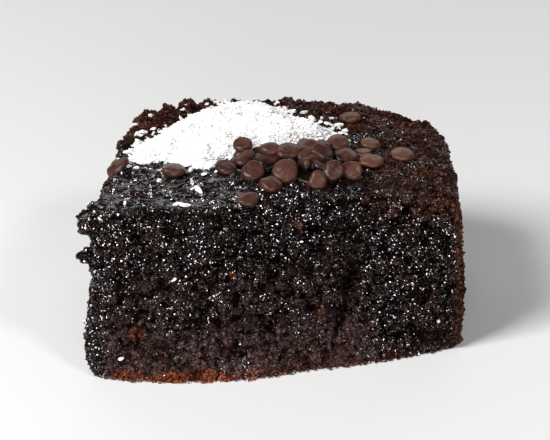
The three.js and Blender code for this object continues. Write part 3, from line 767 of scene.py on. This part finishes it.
def baked_share(p, cut):
    """Where the baked foot of the cut face and its specks of paler crumb are."""
    x, _, z = p.T
    uneven = 1.5 * noise(p, 4, 93) + 1.1 * noise(p, 1.3, 98)
    foot = smooth((3.5 + uneven - z) / 1.6)
    baked = foot * (0.14 + 0.86 * smooth((2 - x) / 12) * smooth((x + 40) / 5)) * cut
    baked = baked * (1 - 0.8 * smooth((noise(p, 1.9, 99) - 0.2) / 0.3))
    for speck_x, speck_z, radius in RUST_SPECKS:
        apart = np.hypot(x - speck_x, z - speck_z) / radius
        baked = np.maximum(baked, 0.55 * cut * smooth(1.6 - apart + 0.4 * noise(p, 0.7, 94)))
    return baked


def brown_share(p, normal):
    """Where the crust is brown: the right shoulder, the back of the top, the sides and the rim."""
    x, y, z = p.T
    cut, top, glaze, rim, _ = zones(p, normal)
    wander = 5 * noise(p, 8, 86) + 3 * noise(p, 3, 87)
    shoulder = smooth((x - 16 + wander) / 14) * smooth((z - 27 - 0.35 * (44 - x) + 0.6 * wander) / 5)
    shoulder = np.maximum(shoulder, top * smooth((y - 6 + wander) / 9))
    edge = smooth((x - 41.4) / 1.2)
    ledge = smooth((-34 - x) / 4) * smooth((-24 - y) / 6)
    side = (1 - cut) * (1 - glaze) * (1 - smooth((normal[:, 2] - 0.5) / 0.3)) * (1 - ledge)
    fine = 0.5 + 0.5 * noise(p, 1.6, 92)
    brown = np.clip(0.8 * shoulder + 0.7 * edge + 0.6 * side + 0.65 * rim, 0, 1)
    return brown * (0.55 + 0.55 * fine)


def wetness(p, cut, top, glaze, brown, dry):
    """How much syrup there is, without what the hollows and the crust take away."""
    x, _, z = p.T
    wetter = 0.4 * smooth((z - 24) / 10) + 0.55 * smooth((x - 18) / 8)
    wetter = wetter * (0.6 + 0.4 * cut) + 0.25 * smooth((z - 12) / 6) + 0.4 * smooth((-36 - x) / 5)
    patches = 0.5 * noise(p, 7, 95) + 0.5 * noise(p, 2.6, 96)
    drier = 0.4 * brown + 0.5 * smooth((14 - z) / 7) * np.clip(dry, 0, 1) + 0.35 * top * (1 - glaze)
    drier = drier + 0.45 * cut * smooth((z - 37.5) / 2) * smooth((8 - x) / 8) * smooth((x + 36) / 4)
    return 0.49 + wetter + patches - drier


def marks_of(p, normal, tone, shine=0.0):
    """Shares that the sponge's material mixes its colours and its wetness by."""
    x, _, z = p.T
    cut, top, glaze, rim, _ = zones(p, normal)
    # Painted shade in the hollows: there the crumb shines less, turns a dull red-brown with some of the dry
    # colour, loses its baked foot and its tone darkens.
    shade = cut * hollow_shade(p)
    brown = brown_share(p, normal)
    dry = smooth((14 - z) / 7) + 0.3 * smooth((28 - z) / 8)
    dry = dry * cut * (1 - smooth((x - 18) / 8)) * (1 - smooth((-38 - x) / 4))
    wet = np.clip(wetness(p, cut, top, glaze, brown, dry) + shine, 0, 1)
    brown = np.clip(brown, 0, 1)
    dry = np.maximum(dry, np.maximum(0.5 * shade, 0.6 * rim))
    patch = 0.5 + 0.5 * noise(p, 7, 91)
    return {
        "baked": np.clip(baked_share(p, cut), 0, 1) * (1 - shade),
        "brown": brown,
        "dry": np.clip(dry, 0, 1),
        "glaze": glaze,
        "red": np.maximum(smooth((patch - 0.62) / 0.16), shade),
        "tone": tone * (1 - 0.15 * shade),
        "wet": wet * (1 - 0.6 * shade) * (1 - 0.68 * brown),
    }


# ---------- materials ----------


class Paint:
    """A material made of nodes."""

    def __init__(self, name):
        self.material = bpy.data.materials.new(name)
        self.material.use_nodes = True
        self.tree = self.material.node_tree
        self.shader = self.tree.nodes["Principled BSDF"]
        self.coordinates = self.add("ShaderNodeTexCoord").outputs["Object"]

    def add(self, kind, **settings):
        node = self.tree.nodes.new(kind)
        for key, value in settings.items():
            setattr(node, key, value)
        return node

    def link(self, source, target):
        """Joins a socket to another, or sets it to a plain value."""
        if isinstance(source, (int, float, tuple)):
            target.default_value = source
        else:
            self.tree.links.new(source, target)

    def mark(self, name):
        """A share that the mesh carries for each of its points or facets."""
        return self.add("ShaderNodeAttribute", attribute_name=name).outputs["Fac"]

    def noise(self, size_mm, detail=2.0, rough=0.5, stretch=(1, 1, 1)):
        """A noise whose hills are about size_mm apart."""
        mapping = self.add("ShaderNodeMapping")
        mapping.inputs["Scale"].default_value = [1.0 / (0.001 * size_mm * s) for s in stretch]
        self.link(self.coordinates, mapping.inputs["Vector"])
        texture = self.add("ShaderNodeTexNoise")
        self.link(mapping.outputs["Vector"], texture.inputs["Vector"])
        texture.inputs["Scale"].default_value = 1.0
        texture.inputs["Detail"].default_value = detail
        texture.inputs["Roughness"].default_value = rough
        return texture.outputs["Fac"]

    def math(self, operation, a, b=0.0, clamp=False):
        node = self.add("ShaderNodeMath", operation=operation, use_clamp=clamp)
        self.link(a, node.inputs[0])
        self.link(b, node.inputs[1])
        return node.outputs[0]

    def span(self, value, low, high, to_low=0.0, to_high=1.0):
        """A value stretched from one span to another, held at its ends."""
        node = self.add("ShaderNodeMapRange")
        node.inputs["From Min"].default_value = low
        node.inputs["From Max"].default_value = high
        node.inputs["To Min"].default_value = to_low
        node.inputs["To Max"].default_value = to_high
        self.link(value, node.inputs["Value"])
        return node.outputs["Result"]

    def mix(self, share, a, b):
        node = self.add("ShaderNodeMix", data_type="RGBA")
        self.link(share, node.inputs["Factor"])
        self.link(a, node.inputs["A"])
        self.link(b, node.inputs["B"])
        return node.outputs["Result"]

    def bump(self, height, depth_mm, strength=1.0, under=None):
        node = self.add("ShaderNodeBump")
        node.inputs["Distance"].default_value = 0.001 * depth_mm
        self.link(strength, node.inputs["Strength"])
        self.link(height, node.inputs["Height"])
        if under is not None:
            self.link(under, node.inputs["Normal"])
        return node.outputs["Normal"]

    def finish(self, color, roughness, normal=None, **fixed):
        self.link(color, self.shader.inputs["Base Color"])
        self.link(roughness, self.shader.inputs["Roughness"])
        if normal is not None:
            self.link(normal, self.shader.inputs["Normal"])
        for key, value in fixed.items():
            self.shader.inputs[key.replace("_", " ")].default_value = value
        return self.material


def sponge_paint():
    """Wet crumb: dark and shining where the syrup stands, brown or dry elsewhere."""
    paint = Paint("wet_chocolate_crumb")
    speckle = paint.span(paint.noise(0.45, 3.0, 0.65), 0.35, 0.7, -0.2, 0.2)
    grain = paint.math("ADD", speckle, paint.mark("tone"))
    patch = paint.span(paint.noise(5.0, 3.0, 0.6), 0.4, 0.6)
    reddish = paint.math("MULTIPLY", paint.mark("red"), patch, True)
    shares = {name: paint.mark(name) for name in ("dry", "brown", "baked")}
    shares["red"] = paint.math("MULTIPLY", reddish, 0.7)
    color = None
    for name, (low, high, darkest, palest) in CRUMB_COLORS.items():
        own = paint.mix(paint.span(grain, low, high), darkest, palest)
        color = own if color is None else paint.mix(shares[name], color, own)

    glaze = paint.mark("glaze")
    flow = paint.span(paint.noise(0.9, 2.0), 0.35, 0.6, 0.5, 1.0)
    film = paint.math("MULTIPLY", paint.mark("wet"), flow)
    film = paint.math("MULTIPLY", film, paint.mark("film"))
    sheen = paint.math("MULTIPLY", glaze, 0.14)
    roughness = paint.math("MAXIMUM", paint.span(film, 0.15, 0.7, 0.4, 0.08), sheen)
    shine = paint.math("MAXIMUM", paint.span(film, 0.2, 0.75, 0.02, 1.0), glaze)
    paint.link(shine, paint.shader.inputs["Specular IOR Level"])
    wrinkled = paint.bump(paint.noise(0.9, 3.0, 0.65, (2.6, 1, 1)), 0.22, glaze)
    normal = paint.bump(paint.noise(0.6, 1.0), 0.02, 0.3, wrinkled)
    return paint.finish(color, roughness, normal)


def coconut_paint():
    paint = Paint("coconut_flake")
    color = paint.mix(paint.noise(1.4, 3.0, 0.6), *COCONUT_COLORS)
    fibre = paint.noise(0.25, 2.0, 0.5)
    return paint.finish(color, 0.7, paint.bump(fibre, 0.05, 0.5), Specular_IOR_Level=0.2)


def chocolate_paint():
    """Satin chocolate: cloudy, worn in specks, with painted shade between the drops and on their bellies."""
    paint = Paint("satin_chocolate")
    cloud = paint.noise(2.2, 3.0, 0.55)
    speck = paint.noise(0.45, 3.0, 0.6)
    color = paint.mix(paint.span(cloud, 0.3, 0.7), *CHOCOLATE_COLORS)
    color = paint.mix(paint.math("MULTIPLY", paint.mark("pale"), 0.5), color, CHOCOLATE_PALE)
    # Painted shade: near black low in the pile, on the drops' bellies and on the core.
    color = paint.mix(paint.mark("gap"), color, CHOCOLATE_PAINTED_SHADE)
    worn = paint.math("MULTIPLY", paint.span(speck, 0.52, 0.68), 0.5)
    color = paint.mix(worn, color, CHOCOLATE_WORN)
    roughness = paint.span(cloud, 0.3, 0.7, 0.24, 0.38)
    return paint.finish(color, roughness, paint.bump(speck, 0.09, 0.6), Specular_IOR_Level=0.2)


def floor_paint():
    paint = Paint("pale_floor")
    color = paint.mix(paint.noise(60.0, 2.0), *FLOOR_COLORS)
    return paint.finish(color, 0.7, Specular_IOR_Level=0.2)


# ---------- scattered pieces ----------


def turned(random, count):
    """Random turns, as matrices."""
    q = random.normal(size=(count, 4))
    q /= np.linalg.norm(q, axis=1)[:, None]
    w, x, y, z = q.T
    rows = [
        [1 - 2 * (y * y + z * z), 2 * (x * y - z * w), 2 * (x * z + y * w)],
        [2 * (x * y + z * w), 1 - 2 * (x * x + z * z), 2 * (y * z - x * w)],
        [2 * (x * z - y * w), 2 * (y * z + x * w), 1 - 2 * (x * x + y * y)],
    ]
    return np.moveaxis(np.array(rows), -1, 0)


def turns(axis, angles):
    """Turns about X, Y or Z, which are axis 0, 1 or 2, as matrices."""
    second, third = (axis + 1) % 3, (axis + 2) % 3
    made = np.zeros((len(angles), 3, 3))
    made[:, axis, axis] = 1
    made[:, second, second] = made[:, third, third] = np.cos(angles)
    made[:, third, second] = np.sin(angles)
    made[:, second, third] = -np.sin(angles)
    return made


def repeated(triangles, count, size):
    """The triangles of many things alike, each of which has size points."""
    return (triangles[None] + np.arange(count)[:, None, None] * size).reshape(-1, 3)


def joined(meshes):
    """Several meshes as one."""
    starts = np.cumsum([0] + [len(points) for points, _ in meshes])
    triangles = [own + start for (_, own), start in zip(meshes, starts)]
    return np.vstack([points for points, _ in meshes]), np.vstack(triangles)


GRAIN_SIDES = 5
GRAIN_POINTS = GRAIN_SIDES + 2


def grain_shape():
    """Points and triangles of a small angular grain, one unit in radius."""
    angle = np.arange(GRAIN_SIDES) * 2 * math.pi / GRAIN_SIDES
    ring = np.c_[np.cos(angle), np.sin(angle), 0 * angle]
    points = np.vstack([ring, [[0, 0, 1], [0, 0, -1]]])
    triangles = []
    for i in range(GRAIN_SIDES):
        following = (i + 1) % GRAIN_SIDES
        triangles.append((i, following, GRAIN_SIDES))
        triangles.append((following, i, GRAIN_SIDES + 1))
    return points, np.array(triangles)


def grains(place, out, radius, sink, random):
    """Many angular grains, each set a share of its radius into the surface."""
    count = len(place)
    shape, faces = grain_shape()
    points = shape[None] * (1 + 0.5 * (random.random((count, len(shape), 1)) - 0.5))
    points = points + 0.18 * random.normal(size=points.shape)
    points *= radius[:, None, None] * (0.65 + 0.5 * random.random((count, 1, 3)))
    points = np.einsum("nij,nkj->nki", turned(random, count), points)
    points += (place + out * (radius * sink)[:, None])[:, None]
    return points.reshape(-1, 3), repeated(faces, count, len(shape))


def clots(place, out, radius, random):
    """Rounded lumps of wet crumb, each half sunk into the surface."""
    ball = bpy.data.meshes.new("ball")
    made = bmesh.new()
    bmesh.ops.create_icosphere(made, subdivisions=2, radius=1.0)
    made.to_mesh(ball)
    made.free()
    shape = np.array([vertex.co[:] for vertex in ball.vertices])
    faces = np.array([face.vertices[:] for face in ball.polygons])
    bpy.data.meshes.remove(ball)
    count = len(place)
    points = np.einsum("nij,kj->nki", turned(random, count), shape)
    points = points * (0.7 + 0.5 * random.random((count, 1, 3)))
    swell = noise(points + place[:, None] * 9.0, 0.75, 35)
    points = points * (1 + 0.35 * swell[..., None]) * radius[:, None, None]
    points += (place - 0.2 * out * radius[:, None])[:, None]
    return points.reshape(-1, 3), repeated(faces, count, len(shape)), np.repeat(out, len(shape), axis=0)


# ---------- chocolate drops ----------


def drop_profile(radius, dome):
    """Radius and height of each ring of a drop, from below."""
    belly = [(math.sin(t), -math.cos(t)) for t in np.linspace(0.25, 1.45, BELLY_RINGS)]
    upper = [(math.cos(t), math.sin(t)) for t in np.linspace(0.0, 1.45, DOME_RINGS)]
    rings = [(radius * 0.97 * r**0.8, DROP_BELLY * h) for r, h in belly]
    rings += [(radius * r**0.4, DROP_RIM + DROP_FLATTENED * dome * h) for r, h in upper]
    return rings


def drop_mesh(row, seed):
    """One drop, uneven in its own way."""
    x, y, lift, width, dome, nod, roll = row
    rings = drop_profile(width / 2, dome)
    angle = np.arange(DROP_SIDES) * 2 * math.pi / DROP_SIDES
    points = np.vstack([np.c_[r * np.cos(angle), r * np.sin(angle), 0 * angle + h] for r, h in rings])
    points = np.vstack([points, [[0, 0, -DROP_BELLY], [0, 0, DROP_RIM + dome]]])
    triangles = []
    for low in range(0, (len(rings) - 1) * DROP_SIDES, DROP_SIDES):
        high = low + DROP_SIDES
        for i in range(DROP_SIDES):
            j = (i + 1) % DROP_SIDES
            triangles += [(low + i, low + j, high + j), (low + i, high + j, high + i)]
    top = (len(rings) - 1) * DROP_SIDES
    for i in range(DROP_SIDES):
        j = (i + 1) % DROP_SIDES
        triangles += [(len(points) - 2, j, i), (len(points) - 1, top + i, top + j)]
    place = points + 37.0 * seed
    points = points * (1 + 0.15 * noise(place, 2.2, 5))[:, None]
    points[:, 2] += 0.26 * noise(place, 2.2, 6) + 0.1 * noise(place, 0.9, 7)
    turn = turns(1, np.radians([roll])) @ turns(0, np.radians([nod]))
    return points @ turn[0].T + [x, y, top_height(x, y) + lift], np.array(triangles)


def heap_mesh(outline, wide, deep, rise):
    """A closed heap on the cake's top, on a grid of wide by deep steps."""
    ring = smooth_line(outline, 2 * (wide + deep))
    inner = coons(ring, wide, deep).reshape(-1, 2)
    distance = np.maximum(0, -beyond(ring, *inner.T))
    height = top_height(*inner.T) + rise(inner, distance)
    grid = np.arange(len(inner)).reshape(deep + 1, wide + 1)
    under = np.vstack([ring, ring.mean(0)])
    points = np.vstack([np.c_[inner, height], np.c_[under, top_height(*under.T) - HEAP_ROOT]])
    edge = ring_of(grid)
    count = len(edge)
    low = np.arange(count) + len(inner)
    triangles = [grid_triangles(grid)]
    for i in range(count):
        j = (i + 1) % count
        triangles.append([(low[i], low[j], edge[j]), (low[i], edge[j], edge[i])])
        triangles.append([(len(points) - 1, low[j], low[i])])
    return points, np.vstack([np.asarray(t) for t in triangles])


def pile_rise(p, distance):
    """Height of the model's pile at a distance inside its outline."""
    return PILE_RIM + (PILE_HEIGHT - PILE_RIM) * smooth(distance / PILE_SHOULDER)


def core_rise(p, distance):
    """The drops hide the pile's own core, which lies lower than the model's."""
    return pile_rise(p, distance) - CORE_SUNK * smooth(distance / 2)


def filler_drops(random):
    """Drops between and under those that are listed."""
    rows = []
    for x in np.arange(-14, 19, FILLER_SPACING):
        for y in np.arange(-27, -3, FILLER_SPACING):
            place = np.array([x, y]) + 0.45 * FILLER_SPACING * (random.random(2) * 2 - 1)
            depth = -float(beyond(PILE_OUTLINE, *place))
            width = FILLER_WIDTH + random.random()
            nod, roll = FILLER_TILT * random.normal(size=2)
            lift = pile_rise(place, depth) - FILLER_SUNK
            if depth > 0.3:
                rows.append((*place, lift, width, FILLER_DOME, 10 + nod, roll))
    return rows


def drop_marks(points, core_count):
    """Painted shade low in the pile, on each drop's belly and on the core, and how pale each drop is."""
    place = points[:, :2]
    depth = -beyond(PILE_OUTLINE, *place.T)
    below = top_height(*place.T) + pile_rise(place, np.maximum(depth, 0)) - points[:, 2]
    # Painted shade: darker the lower a place lies in the pile, on each drop's belly and the foot of its
    # dome, and all over the core.
    gap = smooth((below + 0.5) / 1.6) * smooth((depth + 1) / 1.5)
    drop, point = np.divmod(np.arange(len(points)) - core_count, DROP_POINTS)
    gap = np.maximum(gap, 0.55 * smooth((9.5 - point // DROP_SIDES) / 4))
    gap[:core_count] = CORE_PAINTED_SHADE
    pale = 0.45 * np.random.default_rng(11).random(len(points))[drop] ** 2
    pale = np.maximum(pale, 0.9 * smooth((points[:, 0] - 14) / 6) * (depth < 0))
    return {"gap": gap, "pale": pale}


def coconut_rise(p, distance):
    """Height of the model's heap at a distance inside its outline."""
    q = np.c_[p, 0 * p[:, 0]]
    mound = HEAP_RIM + (HEAP_HEIGHT - HEAP_RIM) * smooth(distance / HEAP_SHOULDER)
    uneven = 0.45 * noise(q, 9, 21) + 0.3 * noise(q, 4, 22)
    bumps = 0.75 * noise(q, 2.2, 23)
    return mound + uneven * smooth(distance / 3) + bumps


def flake_bed(p, distance):
    """The heap's own core: a little lower than the model's, as flakes cover it, most at the back."""
    lower = 0.3 + BACK_LOWER * smooth((p[:, 1] - 8) / 12) * smooth(distance / 3)
    return (coconut_rise(p, distance) - lower + 1.5) * smooth((distance + 0.2) / 2.6) - 1.5


# ---------- coconut flakes ----------


def flakes(place, length, wide, thick, turn, tip, roll, bend, random):
    """Bent, tapering strips of coconut: three cross-sections of four corners each."""
    count = len(place)
    tapers = ((0.35, 0.4), (0.9, 0.2), (0.35, 0.4))
    taper = np.stack([least + spread * random.random(count) for least, spread in tapers], 1)
    corners = np.array([(-0.5, -0.5), (0.5, -0.5), (0.5, 0.5), (-0.5, 0.5)])
    points = np.zeros((count, 3, 4, 3))
    points[..., 0] = (np.array([-0.5, 0.0, 0.5]) * length[:, None])[..., None]
    points[..., 1] = corners[:, 0] * (wide[:, None] * taper)[..., None]
    points[..., 2] = corners[:, 1] * (thick[:, None] * taper)[..., None]
    points[:, 1, :, 2] += bend[:, None]
    points += 0.09 * random.normal(size=points.shape) * wide[:, None, None, None]
    turned_by = turns(2, turn) @ turns(1, tip) @ turns(0, roll)
    points = np.einsum("nij,nabj->nabi", turned_by, points) + place[:, None, None]
    faces = [(0, 3, 2), (0, 2, 1), (8, 9, 10), (8, 10, 11)]
    for station in (0, 4):
        for k in range(4):
            a, b = station + k, station + (k + 1) % 4
            faces += [(a, b, b + 4), (a, b + 4, a + 4)]
    return points.reshape(-1, 3), repeated(np.array(faces), count, 12)


def strewn_flakes(place, floor, spans, tilts, random):
    """Flakes turned at random. The spans are the least and the spread of lift, length, width and
    thickness, and the tilts are those of tip, roll and bend."""
    n = len(place)
    lift, length, wide, thick = (least + spread * random.random(n) for least, spread in spans)
    turn = 2 * math.pi * random.random(n)
    tip, roll, bend = (tilt * random.normal(size=n) for tilt in tilts)
    return flakes(np.c_[place, floor + lift], length, wide, thick, turn, tip, roll, bend, random)


def round_heap(margin, count, random):
    """Random places on the heap and in a margin round it, and how far each is from its outline."""
    low, high = np.array(HEAP_OUTLINE).min(0) - margin, np.array(HEAP_OUTLINE).max(0) + margin
    place = low + (high - low) * random.random((count, 2))
    return place, beyond(smooth_line(HEAP_OUTLINE, 200), *place.T)


def heap_flakes(skin, random):
    """Flakes all over the heap, thinning out over a ragged edge."""
    place, away = round_heap(2, 3 * HEAP_FLAKES, random)
    flat = np.c_[place, 0 * away]
    ragged = -away - 0.4 + 2.2 * noise(flat, 3.4, 24) + 1.3 * noise(flat, 1.5, 27)
    keep = random.random(len(place)) < np.clip(0.5 + ragged / 1.1, 0, 1)
    keep &= beyond(PILE_OUTLINE, *place.T) >= 0.2
    place, inside = place[keep][:HEAP_FLAKES], np.maximum(-away[keep][:HEAP_FLAKES], 0)
    height = np.where(inside > 0, np.maximum(flake_bed(place, inside), 0), 0)
    floor = np.maximum(top_height(*place.T) + height, skin.height_under(place))
    spans = ((0.1, 0.12), (1.2, 1.3), (0.5, 0.6), (0.25, 0.2))
    return strewn_flakes(place, floor, spans, (0.14, 0.2, 0.1), random)


def fringe_flakes(skin, random):
    """Flakes in small clumps along and beyond the heap's edge, lying on the cake."""
    place, away = round_heap(4, 60 * FRINGE_FLAKES, random)
    flat = np.c_[place, 0 * away]
    clump = noise(flat, 1.7, 25) + 0.6 * noise(flat, 5, 26)
    chance = np.exp(-np.maximum(away, 0) / 1.1) * smooth((clump + 0.1) / 0.4) * (away > -0.8)
    clear = (beyond(PILE_OUTLINE, *place.T) > PILE_SPREAD) & (top_height(*place.T) > 30)
    place = place[(random.random(len(place)) < chance) & clear][:FRINGE_FLAKES]
    spans = ((0.15, 0.3), (1.0, 1.3), (0.7, 0.7), (0.4, 0.3))
    return strewn_flakes(place, skin.height_under(place), spans, (0.3, 0.5, 0.2), random)


def loose_flakes(skin, random):
    """Flakes and smaller bits that lie on the top by themselves."""
    rows = np.array(LOOSE_FLAKES + STRAY_BITS, float)
    n = len(rows)
    size = np.where(np.arange(n) < len(LOOSE_FLAKES), 1.0, STRAY_SIZE)
    z = skin.height_under(rows[:, :2]) + FLAKE_LIFT
    length = size * (1.9 + 0.8 * random.random(n))
    wide = size * (0.9 + 0.4 * random.random(n))
    thick = 0.5 + 0.15 * random.random(n)
    tip = 0.15 * random.normal(size=n)
    roll = 0.2 * random.normal(size=n)
    bend = 0.15 * random.random(n)
    turn = np.radians(rows[:, 2])
    return flakes(np.c_[rows[:, :2], z], length, wide, thick, turn, tip, roll, bend, random)


def face_bits(skin, random):
    """Bits of coconut that stick to the cut face, the last a white bit that stands in for a highlight."""
    face = skin.points[: skin.cut_count]
    across, height, length = np.array(FACE_BITS).T
    nearest = [np.argmin(np.hypot(face[:, 0] - x, face[:, 2] - z)) for x, z in zip(across, height)]
    n = len(nearest)
    turn = 0.3 * random.normal(size=n)
    tip = 0.9 * random.normal(size=n)
    random.random(n)  # unused, drawn so that all that is drawn later stays the same
    place = face[nearest] - [0, 0.3, 0]
    wide, thick, roll, bend = (np.full(n, value) for value in (0.8, 0.6, 1.2, 0.1))
    return flakes(place, length, wide, thick, turn, tip, roll, bend, random)


# ---------- pieces ----------


def skin_pieces(skin):
    """The cut face and the baked crust."""
    # The tone is partly the crumb's own, at random, and partly painted shade: darker where the fine relief
    # is low, in pores and between clumps.
    tone = 0.3 + 0.25 * noise(skin.points, 0.8, 97) + 0.3 * np.clip(skin.fine, -1, 0.5)
    shine = 0.3 * np.random.default_rng(9).normal(size=len(skin.points))
    marks = marks_of(skin.points, skin.out, np.clip(tone, 0, 1), shine)
    # Painted shade in the hollows: the baked and brown colours and the tone fade the deeper a place is sunk.
    in_light = 1 - 0.8 * smooth((skin.sunk - 0.6) / 2.4)
    for mark in ("baked", "brown", "tone"):
        marks[mark] *= in_light
    in_cut = (skin.triangles < skin.cut_count).all(1)
    for name, chosen in (("cut_face", in_cut), ("baked_crust", ~in_cut)):
        kept, renumbered = np.unique(skin.triangles[chosen], return_inverse=True)
        shape = (skin.points[kept], renumbered.reshape(-1, 3))
        own_marks = {mark: values[kept] for mark, values in marks.items()}
        mesh_object(name, shape, "sponge", "sponge", own_marks, True)


def crumbs(name, skin, weight, count, least, spread, random):
    """Angular crumbs over the skin, each with a tone and a shine of its own."""
    place, out = skin.spread(weight, count, random)
    radius = least + spread * random.random(count) ** 2
    shape = grains(place, out, radius, 0.1, random)
    tone = np.repeat(random.random(count) ** 1.5, GRAIN_POINTS)
    shine = np.repeat(1.3 * (random.random(count) - 0.5), GRAIN_POINTS)
    marks = marks_of(shape[0], np.repeat(out, GRAIN_POINTS, axis=0), tone, shine)
    mesh_object(name, shape, "sponge", "sponge", marks, True)


def foot_crumbs(skin, count, random):
    """Crumbs that have come off along the foot of the cut face and lie on the floor."""
    foot = skin.points[(skin.points[:, 2] < 0.3) & (skin.out[:, 1] < -0.3)]
    start = foot[random.integers(len(foot), size=count)]
    radius = 0.14 + 0.3 * random.random(count) ** 2
    away = 1.3 * random.random(count) ** 1.6 * smooth((44 - start[:, 0]) / 12)
    place = np.c_[start[:, 0], start[:, 1] - away, 0.7 * radius]
    shape = grains(place, np.tile([0, 0, 1.0], (count, 1)), radius, 0, random)
    tone = np.repeat(random.random(count), GRAIN_POINTS)
    marks = marks_of(shape[0], np.tile([0, -1.0, 0], (len(tone), 1)), tone)
    mesh_object("foot_crumbs", shape, "sponge", "sponge", marks, True)


def crumb_pieces(skin, random):
    """Crumbs on the cut face and on the crust, sticky clots of crumb, and fallen crumbs."""
    cut, _, glaze, rim, _ = zones(skin.points, skin.out)
    x, y, z = skin.points.T
    raised = 0.15 + smooth((skin.fine + 0.5) / 0.8)
    not_sunk = 1 - 0.5 * smooth((skin.sunk - 0.6) / 2)
    open_top = beyond(HEAP_OUTLINE, x, y) > -0.5
    weight = smooth((-skin.out[:, 1] - 0.35) / 0.3) * raised * not_sunk
    crumbs("cut_crumbs", skin, weight, CUT_CRUMBS, 0.13, 0.27, random)
    weight = (1 - cut) * (1 - 0.92 * glaze) * open_top * raised * (1 + 2 * rim) * (z > 0.3)
    crumbs("crust_crumbs", skin, weight, CRUST_CRUMBS, 0.16, 0.34, random)

    # Clots lie along the top of the cut face, on the ledge and on the crumbly rim.
    crest = smooth(1 - (top_height(x, y) - z) / 4) * smooth((-26 - y + 0.24 * (x + 14)) / 6)
    ledge = smooth((-36 - x) / 3) * smooth((-28 - y) / 4) * smooth((z - 28) / 3)
    weight = 0.08 + crest * (1 - 0.8 * glaze) + 2 * ledge + 0.8 * rim
    place, out = skin.spread(weight * open_top * not_sunk * (z > 0.5), CLOTS, random)
    radius = 0.35 + 0.6 * random.random(CLOTS) ** 1.5
    points, triangles, normal = clots(place, out, radius, random)
    marks = marks_of(points, normal, np.full(len(points), 0.3), -0.25)
    mesh_object("clots", (points, triangles), "sponge", "sponge", marks, True)
    foot_crumbs(skin, FOOT_CRUMBS, random)


def coconut_pieces(skin, random):
    """The heap's core, the flakes on and round it, and those that lie by themselves."""
    mesh_object("coconut_core", heap_mesh(HEAP_OUTLINE, *HEAP_GRID, flake_bed), "coconut", "coconut")
    heaped = joined([heap_flakes(skin, random), fringe_flakes(skin, random)])
    mesh_object("coconut_flakes", heaped, "coconut", "coconut", None, True)
    loose = joined([loose_flakes(skin, random), face_bits(skin, random)])
    mesh_object("loose_flakes", loose, "sponge", "coconut", None, True)


def drop_pieces(random):
    """The pile of drops over its core, and the drops that lie by themselves."""
    core = heap_mesh(PILE_OUTLINE, *PILE_GRID, core_rise)
    rows = PILED_DROPS + filler_drops(random)
    pile = joined([core] + [drop_mesh(row, seed) for seed, row in enumerate(rows)])
    mesh_object("drop_pile", pile, "chocolate_drops", "chocolate", drop_marks(pile[0], len(core[0])))
    lone = joined([drop_mesh(row, seed) for seed, row in enumerate(LONE_DROPS, 50)])
    mesh_object("lone_drops", lone, "sponge", "chocolate", drop_marks(lone[0], 0))


# ---------- stage ----------


def add_floor():
    """A plain floor that fills the picture."""
    mesh = bpy.data.meshes.new("floor")
    corners = [(x * FLOOR_HALF, y * FLOOR_HALF, 0) for x, y in ((-1, -1), (1, -1), (1, 1), (-1, 1))]
    mesh.from_pydata(corners, [], [(0, 1, 2, 3)])
    mesh.materials.append(floor_paint())
    floor = bpy.data.objects.new("floor", mesh)
    floor.location.z = -FLOOR_DROP
    bpy.context.collection.objects.link(floor)


def add_lamp(name, bearing, elevation, distance, wide, high, radiance):
    """A soft rectangular lamp that looks at the middle of the cake."""
    a, e = math.radians(bearing), math.radians(elevation)
    middle = Vector((0.0, 0.0, 0.02))
    way = Vector((math.sin(a) * math.cos(e), -math.cos(a) * math.cos(e), math.sin(e)))
    made = bpy.data.lights.new(name, "AREA")
    made.shape = "RECTANGLE"
    made.size = 0.001 * wide
    made.size_y = 0.001 * high
    made.energy = radiance * math.pi * made.size * made.size_y
    holder = bpy.data.objects.new(name, made)
    holder.location = middle + way * 0.001 * distance
    holder.rotation_euler = (-way).to_track_quat("-Z", "Y").to_euler()
    bpy.context.collection.objects.link(holder)


def add_world():
    """A faint even light from all round."""
    world = bpy.data.worlds.new("studio")
    world.use_nodes = True
    background = world.node_tree.nodes["Background"]
    background.inputs["Strength"].default_value = WORLD_LIGHT
    background.inputs["Color"].default_value = (1, 1, 1, 1)
    bpy.context.scene.world = world
    bpy.context.scene.view_settings.view_transform = "Standard"


def add_camera():
    """The camera at the photo's viewing angle."""
    camera = bpy.data.objects.new("camera", bpy.data.cameras.new("camera"))
    camera.data.sensor_width = CAMERA_SENSOR
    camera.data.lens = CAMERA_LENS
    camera.data.clip_start = 0.01
    camera.location = placed([CAMERA_PLACE])[0]
    camera.rotation_euler = (math.radians(90 - CAMERA_PITCH), 0, 0)
    bpy.context.collection.objects.link(camera)
    bpy.context.scene.camera = camera


# ---------- putting it together ----------

PAINTS = {"sponge": sponge_paint(), "coconut": coconut_paint(), "chocolate": chocolate_paint()}

cake = Skin()
dice = np.random.default_rng(2024)
skin_pieces(cake)
crumb_pieces(cake, dice)
coconut_pieces(cake, dice)
drop_pieces(dice)

add_floor()
for name, row in LAMPS.items():
    add_lamp(name, *row)
add_world()
add_camera()
